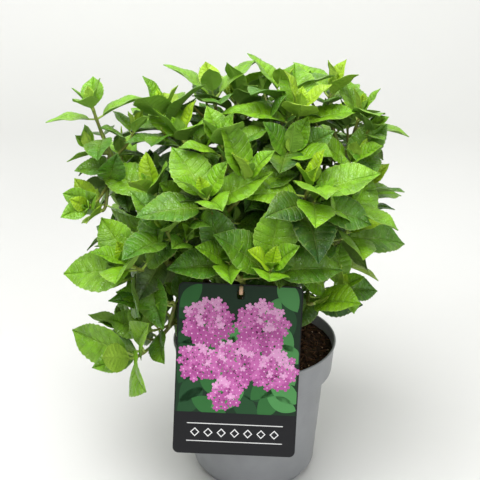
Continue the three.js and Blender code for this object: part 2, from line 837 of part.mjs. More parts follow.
// A limb: its foot is cut clear of the stock or of the limb that it leaves.
function buildLimb(plan) {
  const { mass, line, limbEnd, size } = plan;
  let limb = limbSolid(line, 0, limbEnd, size);
  if (mass.from) {
    const parent = plans.get(mass.from);
    limb = limb.subtract(limbSolid(parent.line, 0, parent.limbEnd, parent.size, GAP));
  } else {
    limb = limb.subtract(solidOf(stockGeometry(GAP)));
  }
  addPiece("limb_" + mass.name, geometryOf(limb), FINISHES.bark);
}

// The pruned twig for the card, cut clear of the front limb that it leaves.
function buildStub() {
  const front = plans.get("front");
  const line = stubLine();
  const stub = limbSolid(line, 0, line.length, STUB);
  const limb = limbSolid(front.line, 0, front.limbEnd, front.size, GAP);
  addPiece("card_stub", geometryOf(stub.subtract(limb)), FINISHES.bark);
}

MASSES.forEach(planMass);
plans.forEach(planLimbEnd);
buildPot();
buildSoil();
addPiece("stock", stockGeometry(0), FINISHES.bark);
plans.forEach(buildLimb);
plans.forEach(buildMass);
buildStub();
buildCard();

export default group;
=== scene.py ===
import functools
import math

import bpy
import numpy as np
from bpy.props import FloatProperty, FloatVectorProperty, IntProperty, PointerProperty
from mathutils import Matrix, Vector


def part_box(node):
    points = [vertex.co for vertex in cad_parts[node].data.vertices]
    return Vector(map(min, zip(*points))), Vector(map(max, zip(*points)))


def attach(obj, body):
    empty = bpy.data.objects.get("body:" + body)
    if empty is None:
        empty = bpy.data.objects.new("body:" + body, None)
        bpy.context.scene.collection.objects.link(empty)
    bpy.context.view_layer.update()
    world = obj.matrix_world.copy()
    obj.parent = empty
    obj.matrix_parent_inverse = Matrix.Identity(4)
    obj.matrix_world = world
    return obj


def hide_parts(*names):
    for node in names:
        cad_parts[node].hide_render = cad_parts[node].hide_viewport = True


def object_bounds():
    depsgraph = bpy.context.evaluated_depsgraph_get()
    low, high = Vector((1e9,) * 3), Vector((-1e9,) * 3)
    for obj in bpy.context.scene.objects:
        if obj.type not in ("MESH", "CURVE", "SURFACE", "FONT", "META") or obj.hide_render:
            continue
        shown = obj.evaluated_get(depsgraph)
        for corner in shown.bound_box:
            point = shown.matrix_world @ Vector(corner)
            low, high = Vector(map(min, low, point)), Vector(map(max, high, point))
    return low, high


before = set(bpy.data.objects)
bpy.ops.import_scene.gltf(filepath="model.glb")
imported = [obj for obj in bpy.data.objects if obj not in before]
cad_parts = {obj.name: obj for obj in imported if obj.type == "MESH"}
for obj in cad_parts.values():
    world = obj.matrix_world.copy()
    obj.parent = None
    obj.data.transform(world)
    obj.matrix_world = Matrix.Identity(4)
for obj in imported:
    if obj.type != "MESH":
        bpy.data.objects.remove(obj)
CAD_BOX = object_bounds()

bl_info = {
    "name": "Potted hydrangea",
    "version": (1, 0, 0),
    "blender": (4, 5, 0),
    "location": "View3D > Sidebar > Hydrangea",
    "description": "Grows a hydrangea shrub in its nursery pot, with its hanging card",
    "category": "Object",
}

# Lengths in the shapes below are millimetres, as in the solids' source, and become metres
# when a mesh is filled. A bearing is counted from +X towards +Y, in degrees.
MM = 0.001
UP = np.array([0.0, 0.0, 1.0])

# Pot, with the sizes of its solid
POT_LOW, POT_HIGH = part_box("pot")
POT = {
    "height": POT_HIGH.z / MM,
    "rim": POT_HIGH.x / MM,
    "collar_height": 40.0,
    "collar": 100.5,
    "wall_top": 91.0,
    "wall_foot": 80.0,
    "foot": 72.0,
    "foot_height": 11.5,
    "floor": 3.0,
    "slots": 8,
    "slot_half_width": 10.0,
    "slot_height": 8.0,
}
SOIL_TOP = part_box("soil")[1].z / MM
STOCK = {"flare": 25.0, "neck": 15.0, "height": 36.0, "limb_reach": 9, "limb_rise": 0.62}
GAP = 0.3

# Card
CARD = {
    "width": 148.0,
    "height": 210.0,
    "thickness": 0.8,
    "corner": 7.0,
    "lean": 15.0,
    "turn": -2.6,
    "across": -22.0,
    "above": 9.5,
    "slot_width": 9.0,
    "slot_height": 13.0,
    "slot_from_top": 5.0,
}
STUB = {"foot": 2.8, "tip": 2.6, "proud": 7.0, "below_tip": 16.0}
PRINT = 0.06  # height of one layer of print on the card

# Growth rule, as in the solids' source
LINE_STEPS = 24
STEM_LENGTH = 105
LEAN_AT_FOOT, LEAN_AT_TOP = 66, 10
CROWN_TOP = 520
CROWN_MIDDLE = np.array([-20.0, 0, 340])  # leaves near it are dealt darker colours, as painted shade
CROWN_REACH = np.array([195.0, 185, 190])
FORK_BELOW_TIP = 62  # where a mass's other shoots leave its leading one
SITES_BELOW_TIP = (0, 40, 80)  # the points of a shoot that hold its mass's space
LIMB_END = {"least": 20, "step": 5, "ahead": 8, "shortest": 30}
SPACE_GAP = 2.4
HANDLE = 0.4  # how far a middle line keeps its first direction, as a share of its span
BOW_OUT = 1.1  # how much more than straight to its tip a main limb leans at its foot
MOST_LEAN = 62
TO_THE_LIGHT = 0.5  # how far leaves turn from their shoot towards upright
VARIETY = {"below": 0.12, "turn": 13, "size": 0.12, "open": 9, "curl": 14, "fold": 8}
MAIN_LIMB = (5.6, 3.2)  # radius at the foot and at the tip
SIDE_LIMB = (4.4, 3.0)
TWIG = (3.0, 1.7)
SPRAY = (1.9, 1.2)

# Leaf pairs: distance under the tip, size, angle to the shoot, curl, quarter turns of the pair.
# The first six are the solids' own. The others are finer: a tip bud and old leaves further down.
LEAF_PAIRS = (
    (3, 0.62, 24, 14, -2),
    (8, 0.94, 44, 24, -1),
    (17, 1.0, 66, 30, 0),
    (40, 1.0, 84, 34, 1),
    (68, 0.92, 96, 36, 2),
    (96, 0.8, 102, 36, 3),
    (0.5, 0.36, 12, 8, -3),
    (124, 0.84, 104, 36, 4),
    (152, 0.78, 106, 36, 5),
    (182, 0.7, 108, 36, 6),
)
SPRAY_PAIRS = (6, 0, 1, 2, 3)  # the pairs that a spray in a leaf's axil carries
BREADTH = 0.72  # of a leaf blade, as a share of its length
PETIOLE = 0.17
FOLD = 20  # rise of each half from the midrib, in degrees
LEAF_TRIES = (  # changes of angle and bearing, and size, tried one after another
    (0, 0, 1.0),
    (-14, 0, 1.0),
    (0, 16, 1.0),
    (0, -16, 1.0),
    (-16, 18, 0.95),
    (-16, -18, 0.95),
    (-30, 0, 0.92),
    (16, 0, 0.9),
    (10, 30, 0.9),
    (10, -30, 0.9),
    (0, 0, 0.78),
    (-22, 0, 0.74),
    (-10, 24, 0.66),
    (-10, -24, 0.66),
)
CARD_GAP = 5.0
LIMB_GAP = 1.5
CROWDING = 6.5  # how far a leaf keeps from the leaves of other shoots

# The foliage masses: name, where the limb leaves from (a bearing at the stock, or another
# limb and a share of its length), leans where they aren't as usual, and the shoots, each with
# the bearing, reach and height of its tip, the bearing of its widest leaf pair and the length
# of its longest leaf.
MASSES = (
    ("left_tall", 211, {},
     ((183, 192, 498, 4, 50), (194, 192, 384, 170, 46), (184, 196, 446, 140, 36))),
    ("upper_left", 160, {},
     ((190, 88, 459, 25, 68), (172, 114, 478, 165, 70), (204, 132, 404, 60, 68))),
    ("top", 109, {}, ((150, 60, 502, 94, 66), (112, 64, 486, 70, 60))),
    ("top_right", 313, {}, ((333, 55, 493, 2, 70), (25, 36, 510, 60, 60), (305, 68, 452, 50, 64))),
    ("right_top", 7, {}, ((7, 126, 478, 12, 58), (24, 100, 500, 50, 60), (350, 114, 432, 70, 56))),
    ("front", 262, {"out": 12, "tilt": 46, "stem": 90},
     ((256, 129, 349, 10, 66), (276, 142, 347, 4, 72))),
    ("back", 58, {}, ((96, 118, 466, 20, 66), (76, 130, 428, 60, 66))),
    ("left_front", ("left_tall", 0.36), {},
     ((212, 171, 330, 8, 76), (200, 160, 296, 55, 68), (224, 144, 378, 40, 62))),
    ("left_low", ("left_tall", 0.2), {"tilt": 100}, ((211, 174, 204, 16, 78), (219, 134, 276, 50, 74))),
    ("back_left_low", ("left_tall", 0.28), {}, ((156, 176, 330, 28, 70), (140, 160, 268, 70, 68))),
    ("back_left", ("upper_left", 0.4), {}, ((139, 150, 434, 50, 68), (158, 172, 400, 10, 64))),
    ("front_upper", ("top", 0.38), {},
     ((245, 132, 421, 22, 70), (264, 106, 439, 25, 70), (242, 85, 472, 32, 56))),
    ("front_right", ("top_right", 0.42), {}, ((299, 120, 431, 15, 72), (322, 120, 396, 60, 64))),
    ("right", ("right_top", 0.4), {},
     ((335, 120, 354, 4, 68), (355, 130, 396, 30, 56), (4, 130, 326, 70, 56))),
    ("back_right", ("right_top", 0.44), {}, ((44, 142, 436, 40, 68), (60, 156, 388, 5, 68))),
    ("right_low", ("right_top", 0.22), {}, ((322, 124, 294, 10, 54), (305, 118, 284, 60, 68))),
    ("back_right_low", ("back", 0.2), {}, ((40, 148, 332, 30, 68), (26, 124, 272, 75, 62))),
    ("back_low", ("back", 0.3), {}, ((98, 170, 346, 15, 70), (84, 166, 276, 60, 68))),
)
LEAF_NODES = ["leaves_" + mass[0] for mass in MASSES]
LIMB_NODES = ["limb_" + mass[0] for mass in MASSES]

# The leaf's grid: rows follow the side veins, three rows to a vein
VEINS = 8
ROWS_TO_A_VEIN = 3
LEAF_COLUMNS = 7
LEAVES_A_PIECE = 270


def linear(hex_colour):
    """An sRGB hex colour as linear red, green, blue and alpha."""
    parts = np.array([int(hex_colour[i : i + 2], 16) for i in (1, 3, 5)]) / 255
    shares = np.where(parts <= 0.04045, parts / 12.92, ((parts + 0.055) / 1.055) ** 2.4)
    return (*shares.tolist(), 1.0)


# Meshes


def unit(vectors):
    """The vectors at length one."""
    return vectors / np.linalg.norm(vectors, axis=-1, keepdims=True)


def grid_faces(rows, columns, wrap_rows=False, wrap_columns=True):
    """Quads of a grid of points, row after row, whose last column or row may meet its first."""
    row = np.arange(rows if wrap_rows else rows - 1)[:, None]
    column = np.arange(columns if wrap_columns else columns - 1)[None, :]
    next_row, next_column = (row + 1) % rows, (column + 1) % columns
    corners = [row * columns + column, row * columns + next_column]
    corners += [next_row * columns + next_column, next_row * columns + column]
    return np.stack(np.broadcast_arrays(*corners), -1).reshape(-1, 4)


def copies(faces, count, step):
    """The same faces for each of count like bodies, whose points are step numbers apart."""
    shift = np.arange(count)[:, None, None] * step
    return (faces[None] + shift).reshape(-1, faces.shape[-1])


def make_piece(name, points, faces, material, uv=None, sharp=None, replaced=()):
    """A mesh piece on the root body, from points in millimetres and lists of faces of a size."""
    mesh = bpy.data.meshes.new(name)
    sizes = np.concatenate([np.full(len(part), part.shape[1]) for part in faces])
    corners = np.concatenate([part.ravel() for part in faces]).astype(np.int32)
    mesh.vertices.add(len(points))
    mesh.vertices.foreach_set("co", (np.asarray(points, float) * MM).astype(np.float32).ravel())
    mesh.loops.add(len(corners))
    mesh.loops.foreach_set("vertex_index", corners)
    mesh.polygons.add(len(sizes))
    starts = np.concatenate([[0], np.cumsum(sizes)[:-1]]).astype(np.int32)
    mesh.polygons.foreach_set("loop_start", starts)
    mesh.polygons.foreach_set("use_smooth", np.ones(len(sizes), bool))
    if uv is not None:
        layer = mesh.uv_layers.new(name="leaf")
        layer.uv.foreach_set("vector", uv[corners].astype(np.float32).ravel())
    mesh.update(calc_edges=True)
    if mesh.validate():
        raise RuntimeError(name + " has faces that don't hold")
    if sharp is not None:
        mesh.set_sharp_from_angle(angle=math.radians(sharp))
    mesh.materials.append(material)
    piece = bpy.data.objects.new(name, mesh)
    bpy.context.scene.collection.objects.link(piece)
    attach(piece, "root")
    if replaced:
        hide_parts(*replaced)
    return piece


def tubes(paths, radii, sides):
    """Round tubes along paths (tubes x stations x 3). At each station a ring stands across the
    path: point = path + radius * (cos(angle) * across + sin(angle) * over). Fans close the ends.
    radii are tubes x stations, or tubes x stations x sides for a tube that isn't round."""
    count, stations = paths.shape[:2]
    way = unit(np.gradient(paths, axis=1))
    reference = np.stack([way[..., 2], np.full(way.shape[:2], 0.3), -way[..., 0]], -1)
    across = unit(np.cross(reference, way))
    over = np.cross(way, across)
    angles = np.arange(sides) * 2 * np.pi / sides
    ring = np.cos(angles)[:, None] * across[:, :, None] + np.sin(angles)[:, None] * over[:, :, None]
    wide = radii[..., None] if radii.ndim == 2 else radii
    rims = paths[:, :, None] + wide[..., None] * ring
    ends = paths[:, [0, -1]]
    points = np.concatenate([rims.reshape(count, -1, 3), ends], 1)
    body = stations * sides
    here = np.arange(sides)
    after = (here + 1) % sides
    first = np.stack([np.full(sides, body), after, here], -1)
    last = np.stack([np.full(sides, body + 1), body - sides + here, body - sides + after], -1)
    quads = copies(grid_faces(stations, sides), count, body + 2)
    fans = copies(np.concatenate([first, last]), count, body + 2)
    return points.reshape(-1, 3), [quads, fans]


def joined(parts):
    """Several bodies, each points with lists of faces, as one."""
    points, faces, before = [], [], 0
    for body, lists in parts:
        points.append(body)
        faces.extend(part + before for part in lists)
        before += len(body)
    return np.concatenate(points), faces


def turned(profile, segments, swell=None):
    """A closed turned body. profile is radius and height from the axis out and back to it:
    point = (radius * cos(angle), radius * sin(angle), height). swell adds to radius and height
    over the same grid. The profile's two ends are poles on the axis."""
    angles = np.arange(segments) * 2 * np.pi / segments
    radius = np.repeat(profile[1:-1, :1], segments, 1)
    height = np.repeat(profile[1:-1, 1:], segments, 1)
    if swell:
        radius, height = swell(radius, height, angles[None, :])
    rings = np.stack([radius * np.cos(angles), radius * np.sin(angles), height], -1)
    poles = np.array([[0, 0, profile[0, 1]], [0, 0, profile[-1, 1]]])
    body = rings.shape[0] * segments
    here = np.arange(segments)
    after = (here + 1) % segments
    first = np.stack([np.full(segments, body), after, here], -1)
    last = np.stack([np.full(segments, body + 1), body - segments + here, body - segments + after], -1)
    faces = [grid_faces(rings.shape[0], segments), np.concatenate([first, last])]
    return np.concatenate([rings.reshape(-1, 3), poles]), faces


def rounded(corners, radius, steps=4):
    """The outline with each inner corner cut short by radius and bridged by a curve whose
    middle control is the corner: point = (1-t)^2 * before + 2t(1-t) * corner + t^2 * after."""
    corners = np.asarray(corners, float)
    t = np.linspace(0, 1, steps)[:, None]
    points = [corners[:1]]
    for before, corner, after in zip(corners[:-2], corners[1:-1], corners[2:]):
        back, forth = before - corner, after - corner
        cut = min(radius, 0.45 * np.linalg.norm(back), 0.45 * np.linalg.norm(forth))
        start, end = corner + unit(back) * cut, corner + unit(forth) * cut
        points.append((1 - t) ** 2 * start + 2 * t * (1 - t) * corner + t**2 * end)
    return np.concatenate([*points, corners[-1:]])


def lumps(x, y, z, size, seed):
    """Smooth unevenness from -1 to 1: a mean of sine waves across seeded directions, whose
    wavelengths lie about size."""
    draw = np.random.default_rng(seed)
    total = np.zeros(np.broadcast(x, y, z).shape)
    for _ in range(9):
        way = unit(draw.normal(size=3)) * 2 * np.pi / (size * draw.uniform(0.6, 1.5))
        total += np.sin(way[0] * x + way[1] * y + way[2] * z + draw.uniform(0, 2 * np.pi))
    return total / 9 * 1.8


# Growth


def place(bearing, reach, height):
    """The point at a bearing and reach from the pot's axis, at a height."""
    angle = math.radians(bearing)
    return np.array([reach * math.cos(angle), reach * math.sin(angle), height])


def leaning(bearing, lean):
    """The direction that leans out by lean degrees towards a bearing."""
    return place(bearing, math.sin(math.radians(lean)), math.cos(math.radians(lean)))


def chance(a, b, c):
    """A number from 0 up to 1 that looks random but is the same every time."""
    value = math.sin(a * 127.1 + b * 311.7 + c * 74.7) * 43758.5453
    return value - math.floor(value)


def spread(a, b, c, most):
    """The same, spread evenly about zero."""
    return (2 * chance(a, b, c) - 1) * most


class MiddleLine:
    """A smooth line from start to end with its leaving and arriving directions: a cubic curve
    whose two handles are a share of the span long, cut into equal steps of its parameter."""

    def __init__(self, start, leaving, end, arriving):
        handle = HANDLE * np.linalg.norm(end - start)
        controls = np.array([start, start + leaving * handle, end - arriving * handle, end])
        t = np.linspace(0, 1, LINE_STEPS + 1)[:, None]
        weights = np.hstack([(1 - t) ** 3, 3 * t * (1 - t) ** 2, 3 * t**2 * (1 - t), t**3])
        self.points = weights @ controls
        steps = np.linalg.norm(np.diff(self.points, axis=0), axis=1)
        self.lengths = np.concatenate([[0], np.cumsum(steps)])
        self.length = self.lengths[-1]

    def at(self, distance):
        """Points and directions at distances along the line."""
        s = np.clip(distance, 0, self.length)
        point = np.stack([np.interp(s, self.lengths, self.points[:, i]) for i in range(3)], -1)
        step = np.clip(np.searchsorted(self.lengths, s), 1, LINE_STEPS)
        return point, unit(self.points[step] - self.points[step - 1])


def lean_at(height):
    """How far a tip leans out: low tips lie outwards, high ones stand up."""
    share = (height - POT["height"]) / (CROWN_TOP - POT["height"])
    return LEAN_AT_FOOT + (LEAN_AT_TOP - LEAN_AT_FOOT) * share


def plan_masses():
    """Where every limb and shoot runs. A mass's limb and leading stem run on one line to the
    tip of its first shoot, and its other shoots leave that line a little under the tip."""
    plans = {}
    for index, (name, source, leans, shoots) in enumerate(MASSES):
        bearing, reach, height = shoots[0][:3]
        tip = place(bearing, reach, height)
        if isinstance(source, tuple):
            parent, share = plans[source[0]], source[1]
            start, way = parent["line"].at(parent["line"].length * share)
            leaving = unit(way + unit(tip - start))
        else:
            start = place(source, STOCK["limb_reach"], SOIL_TOP + STOCK["height"] * STOCK["limb_rise"])
            straight = math.degrees(math.atan2(reach, height - SOIL_TOP))
            leaving = leaning(source, leans.get("out", min(straight * BOW_OUT, MOST_LEAN)))
        line = MiddleLine(start, leaving, tip, leaning(bearing, leans.get("tilt", lean_at(height))))
        stems = [{"line": line, "turn": shoots[0][3], "leaf": shoots[0][4]}]
        for other in shoots[1:]:
            end = place(*other[:3])
            joint = line.at(line.length - FORK_BELOW_TIP)[0]
            arriving = leaning(other[0], leans.get("tilt", lean_at(other[2])))
            side = MiddleLine(joint, unit(end - joint), end, arriving)
            stems.append({"line": side, "turn": other[3], "leaf": other[4]})
        own = [(stem["line"], back) for stem in stems for back in SITES_BELOW_TIP]
        sites = [path.at(path.length - back)[0] for path, back in own if back < path.length]
        size = SIDE_LIMB if isinstance(source, tuple) else MAIN_LIMB
        plans[name] = {"index": index, "line": line, "stems": stems, "sites": np.array(sites),
                       "size": size, "stem": leans.get("stem", STEM_LENGTH)}
    for plan in plans.values():
        plan["limb_end"] = limb_end(plan, plans)
    return plans


def limb_end(plan, plans):
    """The limb ends where its line comes into the mass's own space: the points that are nearer
    to its shoots than to any others."""
    back = LIMB_END["least"]
    line = plan["line"]
    while back < min(plan["stem"], line.length - LIMB_END["shortest"]):
        point = line.at(line.length - back - LIMB_END["ahead"])[0]
        near = {id(p): np.linalg.norm(p["sites"] - point, axis=1).min() for p in plans.values()}
        own = near.pop(id(plan))
        if own + SPACE_GAP >= min(near.values()):
            break
        back += LIMB_END["step"]
    return line.length - back


def card_frame():
    """The card's centre, and the directions of its face, its right edge and its top."""
    lean, turn = math.radians(CARD["lean"]), math.radians(CARD["turn"])
    face = np.array([0, -math.cos(lean), math.sin(lean)])
    slope = np.array([0, math.sin(lean), math.cos(lean)])
    across = np.array([1.0, 0, 0])
    right = across * math.cos(turn) + np.cross(face, across) * math.sin(turn)
    top = slope * math.cos(turn) + np.cross(face, slope) * math.sin(turn)
    centre = np.array([CARD["across"], -POT["rim"], POT["height"]])
    centre = centre + slope * CARD["above"] + face * (CARD["thickness"] / 2 + GAP)
    return centre, face, right, top


def stub_line(plans):
    """The pruned twig that the card hangs on, from the front limb through the card's slot."""
    centre, face, _, top = card_frame()
    front = plans["front"]
    start, way = front["line"].at(front["limb_end"] - STUB["below_tip"])
    rise = CARD["height"] / 2 - CARD["slot_from_top"] - STUB["foot"] - 2 * GAP
    tip = centre + top * rise + face * STUB["proud"]
    return MiddleLine(start, unit(way + face), tip, face)


def near_card(points):
    """Which points are on the card, close to it or in front of it."""
    centre, face, right, top = card_frame()
    offset = points - centre
    across = np.abs(offset @ right) < CARD["width"] / 2 + CARD_GAP
    return across & (offset @ top < CARD["height"] / 2 + CARD_GAP) & (offset @ face > -CARD_GAP)


def near_pot(points):
    """Which points are in the pot, or too near its rim or the soil."""
    reach = np.hypot(points[..., 0], points[..., 1])
    return (reach < POT["rim"] + 4) & (points[..., 2] < POT["height"] + 4)


def out_of_reach(points):
    """Which points lie outside the solids' reach."""
    low, high = np.array(CAD_BOX[0]) / MM - 3, np.array(CAD_BOX[1]) / MM + 3
    return ((points < low) | (points > high)).any(-1)


def half_breadth(share):
    """Half a leaf's breadth at a share of its blade, in blade lengths. The solids' outline,
    widest below the middle, is drawn in to a sharper tip:
    breadth / 2 * 2.57 * share^0.6 * (1 - share)^0.78 * (1 - 0.6 * share^5)."""
    share = np.clip(share, 0, 1)
    return BREADTH / 2 * 2.57 * share**0.6 * (1 - share) ** 0.78 * (1 - 0.6 * share**5)


def along_leaf(leaf, distance):
    """Point, direction and upper side at distances along the midrib, for one leaf or for many.
    The angle to the shoot grows evenly, so the midrib is an arc:
    point = root + shaft * (sin(angle) - sin(open)) / bend + outward * (cos(open) - cos(angle)) / bend."""
    opening = leaf["open"]
    bend = leaf["curl"] / (leaf["blade"] * (1 + PETIOLE))
    angle = (opening + bend * distance)[..., None]
    opening, bend = np.asarray(opening)[..., None], np.asarray(bend)[..., None]
    shaft, outward = leaf["shaft"], leaf["outward"]
    point = leaf["root"] + shaft * (np.sin(angle) - np.sin(opening)) / bend
    point = point + outward * (np.cos(opening) - np.cos(angle)) / bend
    direction = shaft * np.cos(angle) + outward * np.sin(angle)
    upper = shaft * np.sin(angle) - outward * np.cos(angle)
    return point, direction, upper


def plan_leaf(stem, key, pair_index, hand, attempt):
    """One leaf of a pair. Its shaft is the shoot's direction turned half way to upright."""
    below, size, opening, curl, quarter = LEAF_PAIRS[pair_index]
    more_open, more_turn, smaller = attempt
    seat = pair_index * 2 + hand
    back = below + spread(key, pair_index, 1, below * VARIETY["below"])
    point, direction = stem["line"].at(stem["line"].length - back)
    shaft = unit(direction + TO_THE_LIGHT * UP)
    bearing = stem["turn"] + 90 * quarter + 180 * hand + more_turn
    bearing += spread(key, seat, 2, VARIETY["turn"])
    flat = place(bearing, 1, 0)
    return {
        "root": point,
        "shaft": shaft,
        "outward": unit(flat - shaft * (flat @ shaft)),
        "blade": stem["leaf"] * size * (1 + spread(key, seat, 3, VARIETY["size"])) * smaller,
        "open": math.radians(opening + spread(key, seat, 4, VARIETY["open"]) + more_open),
        "curl": math.radians(curl + spread(key, seat, 5, VARIETY["curl"])),
        "fold": math.radians(FOLD + spread(key, seat, 6, VARIETY["fold"])),
        "phase": chance(key, seat, 7),
        "shade": chance(key, seat, 8),
        "pair": pair_index,
        "key": key,
    }


TEST_SHARES = np.array([0.12, 0.36, 0.6, 0.84, 1.0])


def test_points(leaf):
    """The midrib and both edges of a leaf at a few shares of its blade."""
    distance = leaf["blade"] * (PETIOLE + TEST_SHARES)
    point, direction, upper = along_leaf(leaf, distance)
    side = np.cross(direction, upper)
    half = (half_breadth(TEST_SHARES) * leaf["blade"])[:, None]
    lift = upper * half * math.sin(leaf["fold"])
    reach = side * half * math.cos(leaf["fold"])
    return np.concatenate([point, point + lift - reach, point + lift + reach])


class Crown:
    """All limbs, shoots, sprays and leaves of the shrub."""

    def __init__(self, fullness):
        self.plans = plan_masses()
        self.stub = stub_line(self.plans)
        self.leaves = []
        self.sprays = []
        self.bark = self.bark_points()
        self.grown = []
        self.middles = np.zeros((0, 5))
        stems = [stem for plan in self.plans.values() for stem in plan["stems"]]
        self.tips = np.array([stem["line"].points[-1] for stem in stems])
        for plan in self.plans.values():
            for number, stem in enumerate(plan["stems"]):
                stem["key"] = plan["index"] * 10 + number
                self.add_leaves(stem, stem["key"], range(len(LEAF_PAIRS)))
        for stem in stems:
            self.add_sprays(stem, fullness)

    def bark_points(self):
        """Points on all limbs' middle lines every 4 mm, with the limb's radius."""
        rows = []
        for plan in self.plans.values():
            at = np.arange(0, plan["limb_end"], 4.0)
            radius = plan["size"][0] + (plan["size"][1] - plan["size"][0]) * at / plan["limb_end"]
            rows.append(np.hstack([plan["line"].at(at)[0], radius[:, None]]))
        at = np.arange(0, self.stub.length, 4.0)
        rows.append(np.hstack([self.stub.at(at)[0], np.full((len(at), 1), STUB["foot"])]))
        return np.concatenate(rows)

    def fits(self, points, key):
        """Whether a leaf keeps clear of the card, pot, limbs and the leaves of other shoots."""
        if near_card(points).any() or near_pot(points).any() or out_of_reach(points).any():
            return False
        to_bark = np.linalg.norm(points[:, None] - self.bark[None, :, :3], axis=2) - self.bark[:, 3]
        if to_bark.min() < LIMB_GAP:
            return False
        middle, reach = self.middle_of(points)
        apart = np.linalg.norm(self.middles[:, :3] - middle, axis=1) - self.middles[:, 3] - reach
        near = np.flatnonzero((apart < CROWDING) & (self.middles[:, 4] != key))
        if not len(near):
            return True
        others = np.concatenate([self.grown[number] for number in near])
        return np.linalg.norm(points[:, None] - others[None], axis=2).min() > CROWDING

    def middle_of(self, points):
        """The middle of a leaf's test points, and how far they reach from it."""
        middle = points.mean(0)
        return middle, np.linalg.norm(points - middle, axis=1).max()

    def add_leaves(self, stem, key, pairs):
        """Grows the leaf pairs of a shoot, each leaf by the first try that fits."""
        for pair in pairs:
            if LEAF_PAIRS[pair][0] * (1 + VARIETY["below"]) > stem["line"].length - LIMB_END["ahead"]:
                continue
            for hand in (0, 1):
                for attempt in LEAF_TRIES:
                    leaf = plan_leaf(stem, key, pair, hand, attempt)
                    points = test_points(leaf)
                    if self.fits(points, key):
                        self.leaves.append(leaf)
                        self.grown.append(points)
                        middle, reach = self.middle_of(points)
                        self.middles = np.vstack([self.middles, [*middle, reach, key]])
                        break

    def add_sprays(self, stem, fullness):
        """Short side shoots in the axils of a stem's lower leaf pairs, which carry it finer."""
        for step, pair in enumerate((3, 4, 5, 7, 8)):
            back = LEAF_PAIRS[pair][0]
            if back > stem["line"].length - 12:
                break
            for hand in (0, 1):
                key = 1000 + stem["key"] * 20 + step * 2 + hand
                if chance(key, 1, 1) > fullness:
                    continue
                point, way = stem["line"].at(stem["line"].length - back)
                bearing = stem["turn"] + 90 * LEAF_PAIRS[pair][4] + 180 * hand + spread(key, 2, 2, 20)
                outward = place(bearing, 1, 0)
                reach = 30 + 26 * chance(key, 3, 3)
                tip = point + reach * unit(0.55 * way + 0.85 * outward + 0.3 * UP)
                apart = np.linalg.norm(self.tips - tip, axis=1).min()
                blocked = near_card(tip[None]) | near_pot(tip[None]) | out_of_reach(tip[None])
                if apart < 21 or blocked.any():
                    continue
                line = MiddleLine(point, unit(way * 0.6 + outward), tip, unit(way + outward + UP))
                leaf = stem["leaf"] * (0.62 + 0.24 * chance(key, 4, 4))
                spray = {"line": line, "turn": bearing + 90 * chance(key, 5, 5), "leaf": leaf, "key": key}
                self.sprays.append(spray)
                self.tips = np.concatenate([self.tips, tip[None]])
                self.add_leaves(spray, key, SPRAY_PAIRS)


@functools.cache
def grown_crown(fullness):
    """The crown, grown once for all the operators that need it."""
    return Crown(fullness)


def leaf_shells(leaves):
    """Thin closed leaves. The grid's rows leave the midrib at a share s and sweep forward to
    the margin, as side veins do: share = s + (margin - s) * |t|^1.3 at the place t from -1 to 1
    across. Height over the midrib's plane = |x| * sin(fold) * (1 - 0.3 t^2), plus bulges between
    the veins, a groove on the midrib and a wave along the margin. Every other row's margin
    stands out as a tooth. The underside is the same grid, 0.4 mm lower, with a rib."""
    count = len(leaves)
    rows = VEINS * ROWS_TO_A_VEIN + 1
    row = np.arange(rows)[:, None]
    s = row / (rows - 1)
    t = np.linspace(-1, 1, LEAF_COLUMNS)[None, :]
    margin = s + 0.15 * np.sin(np.pi * s) * (1 - 0.35 * s)
    share = s + (margin - s) * np.abs(t) ** 1.3
    tooth = 1 + 0.06 * (row % 2 - 0.5) * (np.abs(t) > 0.99) * np.sin(np.pi * s) ** 0.5
    half = np.maximum(half_breadth(margin), 0.014) * tooth

    def column(name):
        return np.array([leaf[name] for leaf in leaves])[:, None, None]

    blade, fold, phase = column("blade"), column("fold"), column("phase")
    grown = {"blade": blade, "open": column("open"), "curl": column("curl")}
    for name in ("root", "shaft", "outward"):
        grown[name] = np.array([leaf[name] for leaf in leaves])[:, None, None, :]
    point, direction, upper = along_leaf(grown, blade * (PETIOLE + share[None]))
    side = np.cross(direction, upper)

    x = t * half * blade
    bulge = (1 - np.cos(2 * np.pi * row / ROWS_TO_A_VEIN)) / 2 * np.sin(np.pi * np.abs(t) ** 0.8)
    rise = np.abs(x) * np.sin(fold) * (1 - 0.3 * t**2)
    rise = rise + 0.03 * blade * bulge * np.sin(np.pi * s) ** 0.6
    rise = rise - 0.6 * (np.abs(t) < 0.01)
    wave = np.sin(2 * np.pi * (1.7 * share + phase) + np.sign(t) * (1 + 4 * phase))
    rise = rise + 0.026 * blade * wave * t**2 * np.sin(np.pi * s)
    bow = (phase - 0.5) * 0.16 * blade * share**2
    top = point + side * (x * np.cos(fold) + bow)[..., None] + upper * rise[..., None]
    depth = 0.4 + 0.9 * (np.abs(t) < 0.01) * (1 - share)
    bottom = top - upper * (depth * np.ones_like(rise))[..., None]

    loop = np.concatenate([top, bottom[:, :, ::-1]], 2)
    ring = 2 * LEAF_COLUMNS
    here = np.arange(ring)
    quads = copies(grid_faces(rows, ring), count, rows * ring)
    caps = np.stack([here[::-1], (rows - 1) * ring + here])
    caps = copies(caps, count, rows * ring)
    across = np.broadcast_to((t + 1) / 2, share.shape)
    down = np.broadcast_to(s, share.shape)
    uv = np.stack([np.hstack([across, 1 + across[:, ::-1]]), np.hstack([down, down])], -1)
    uv = np.tile(uv.reshape(-1, 2), (count, 1))
    return loop.reshape(-1, 3), [quads, caps], uv


# Materials


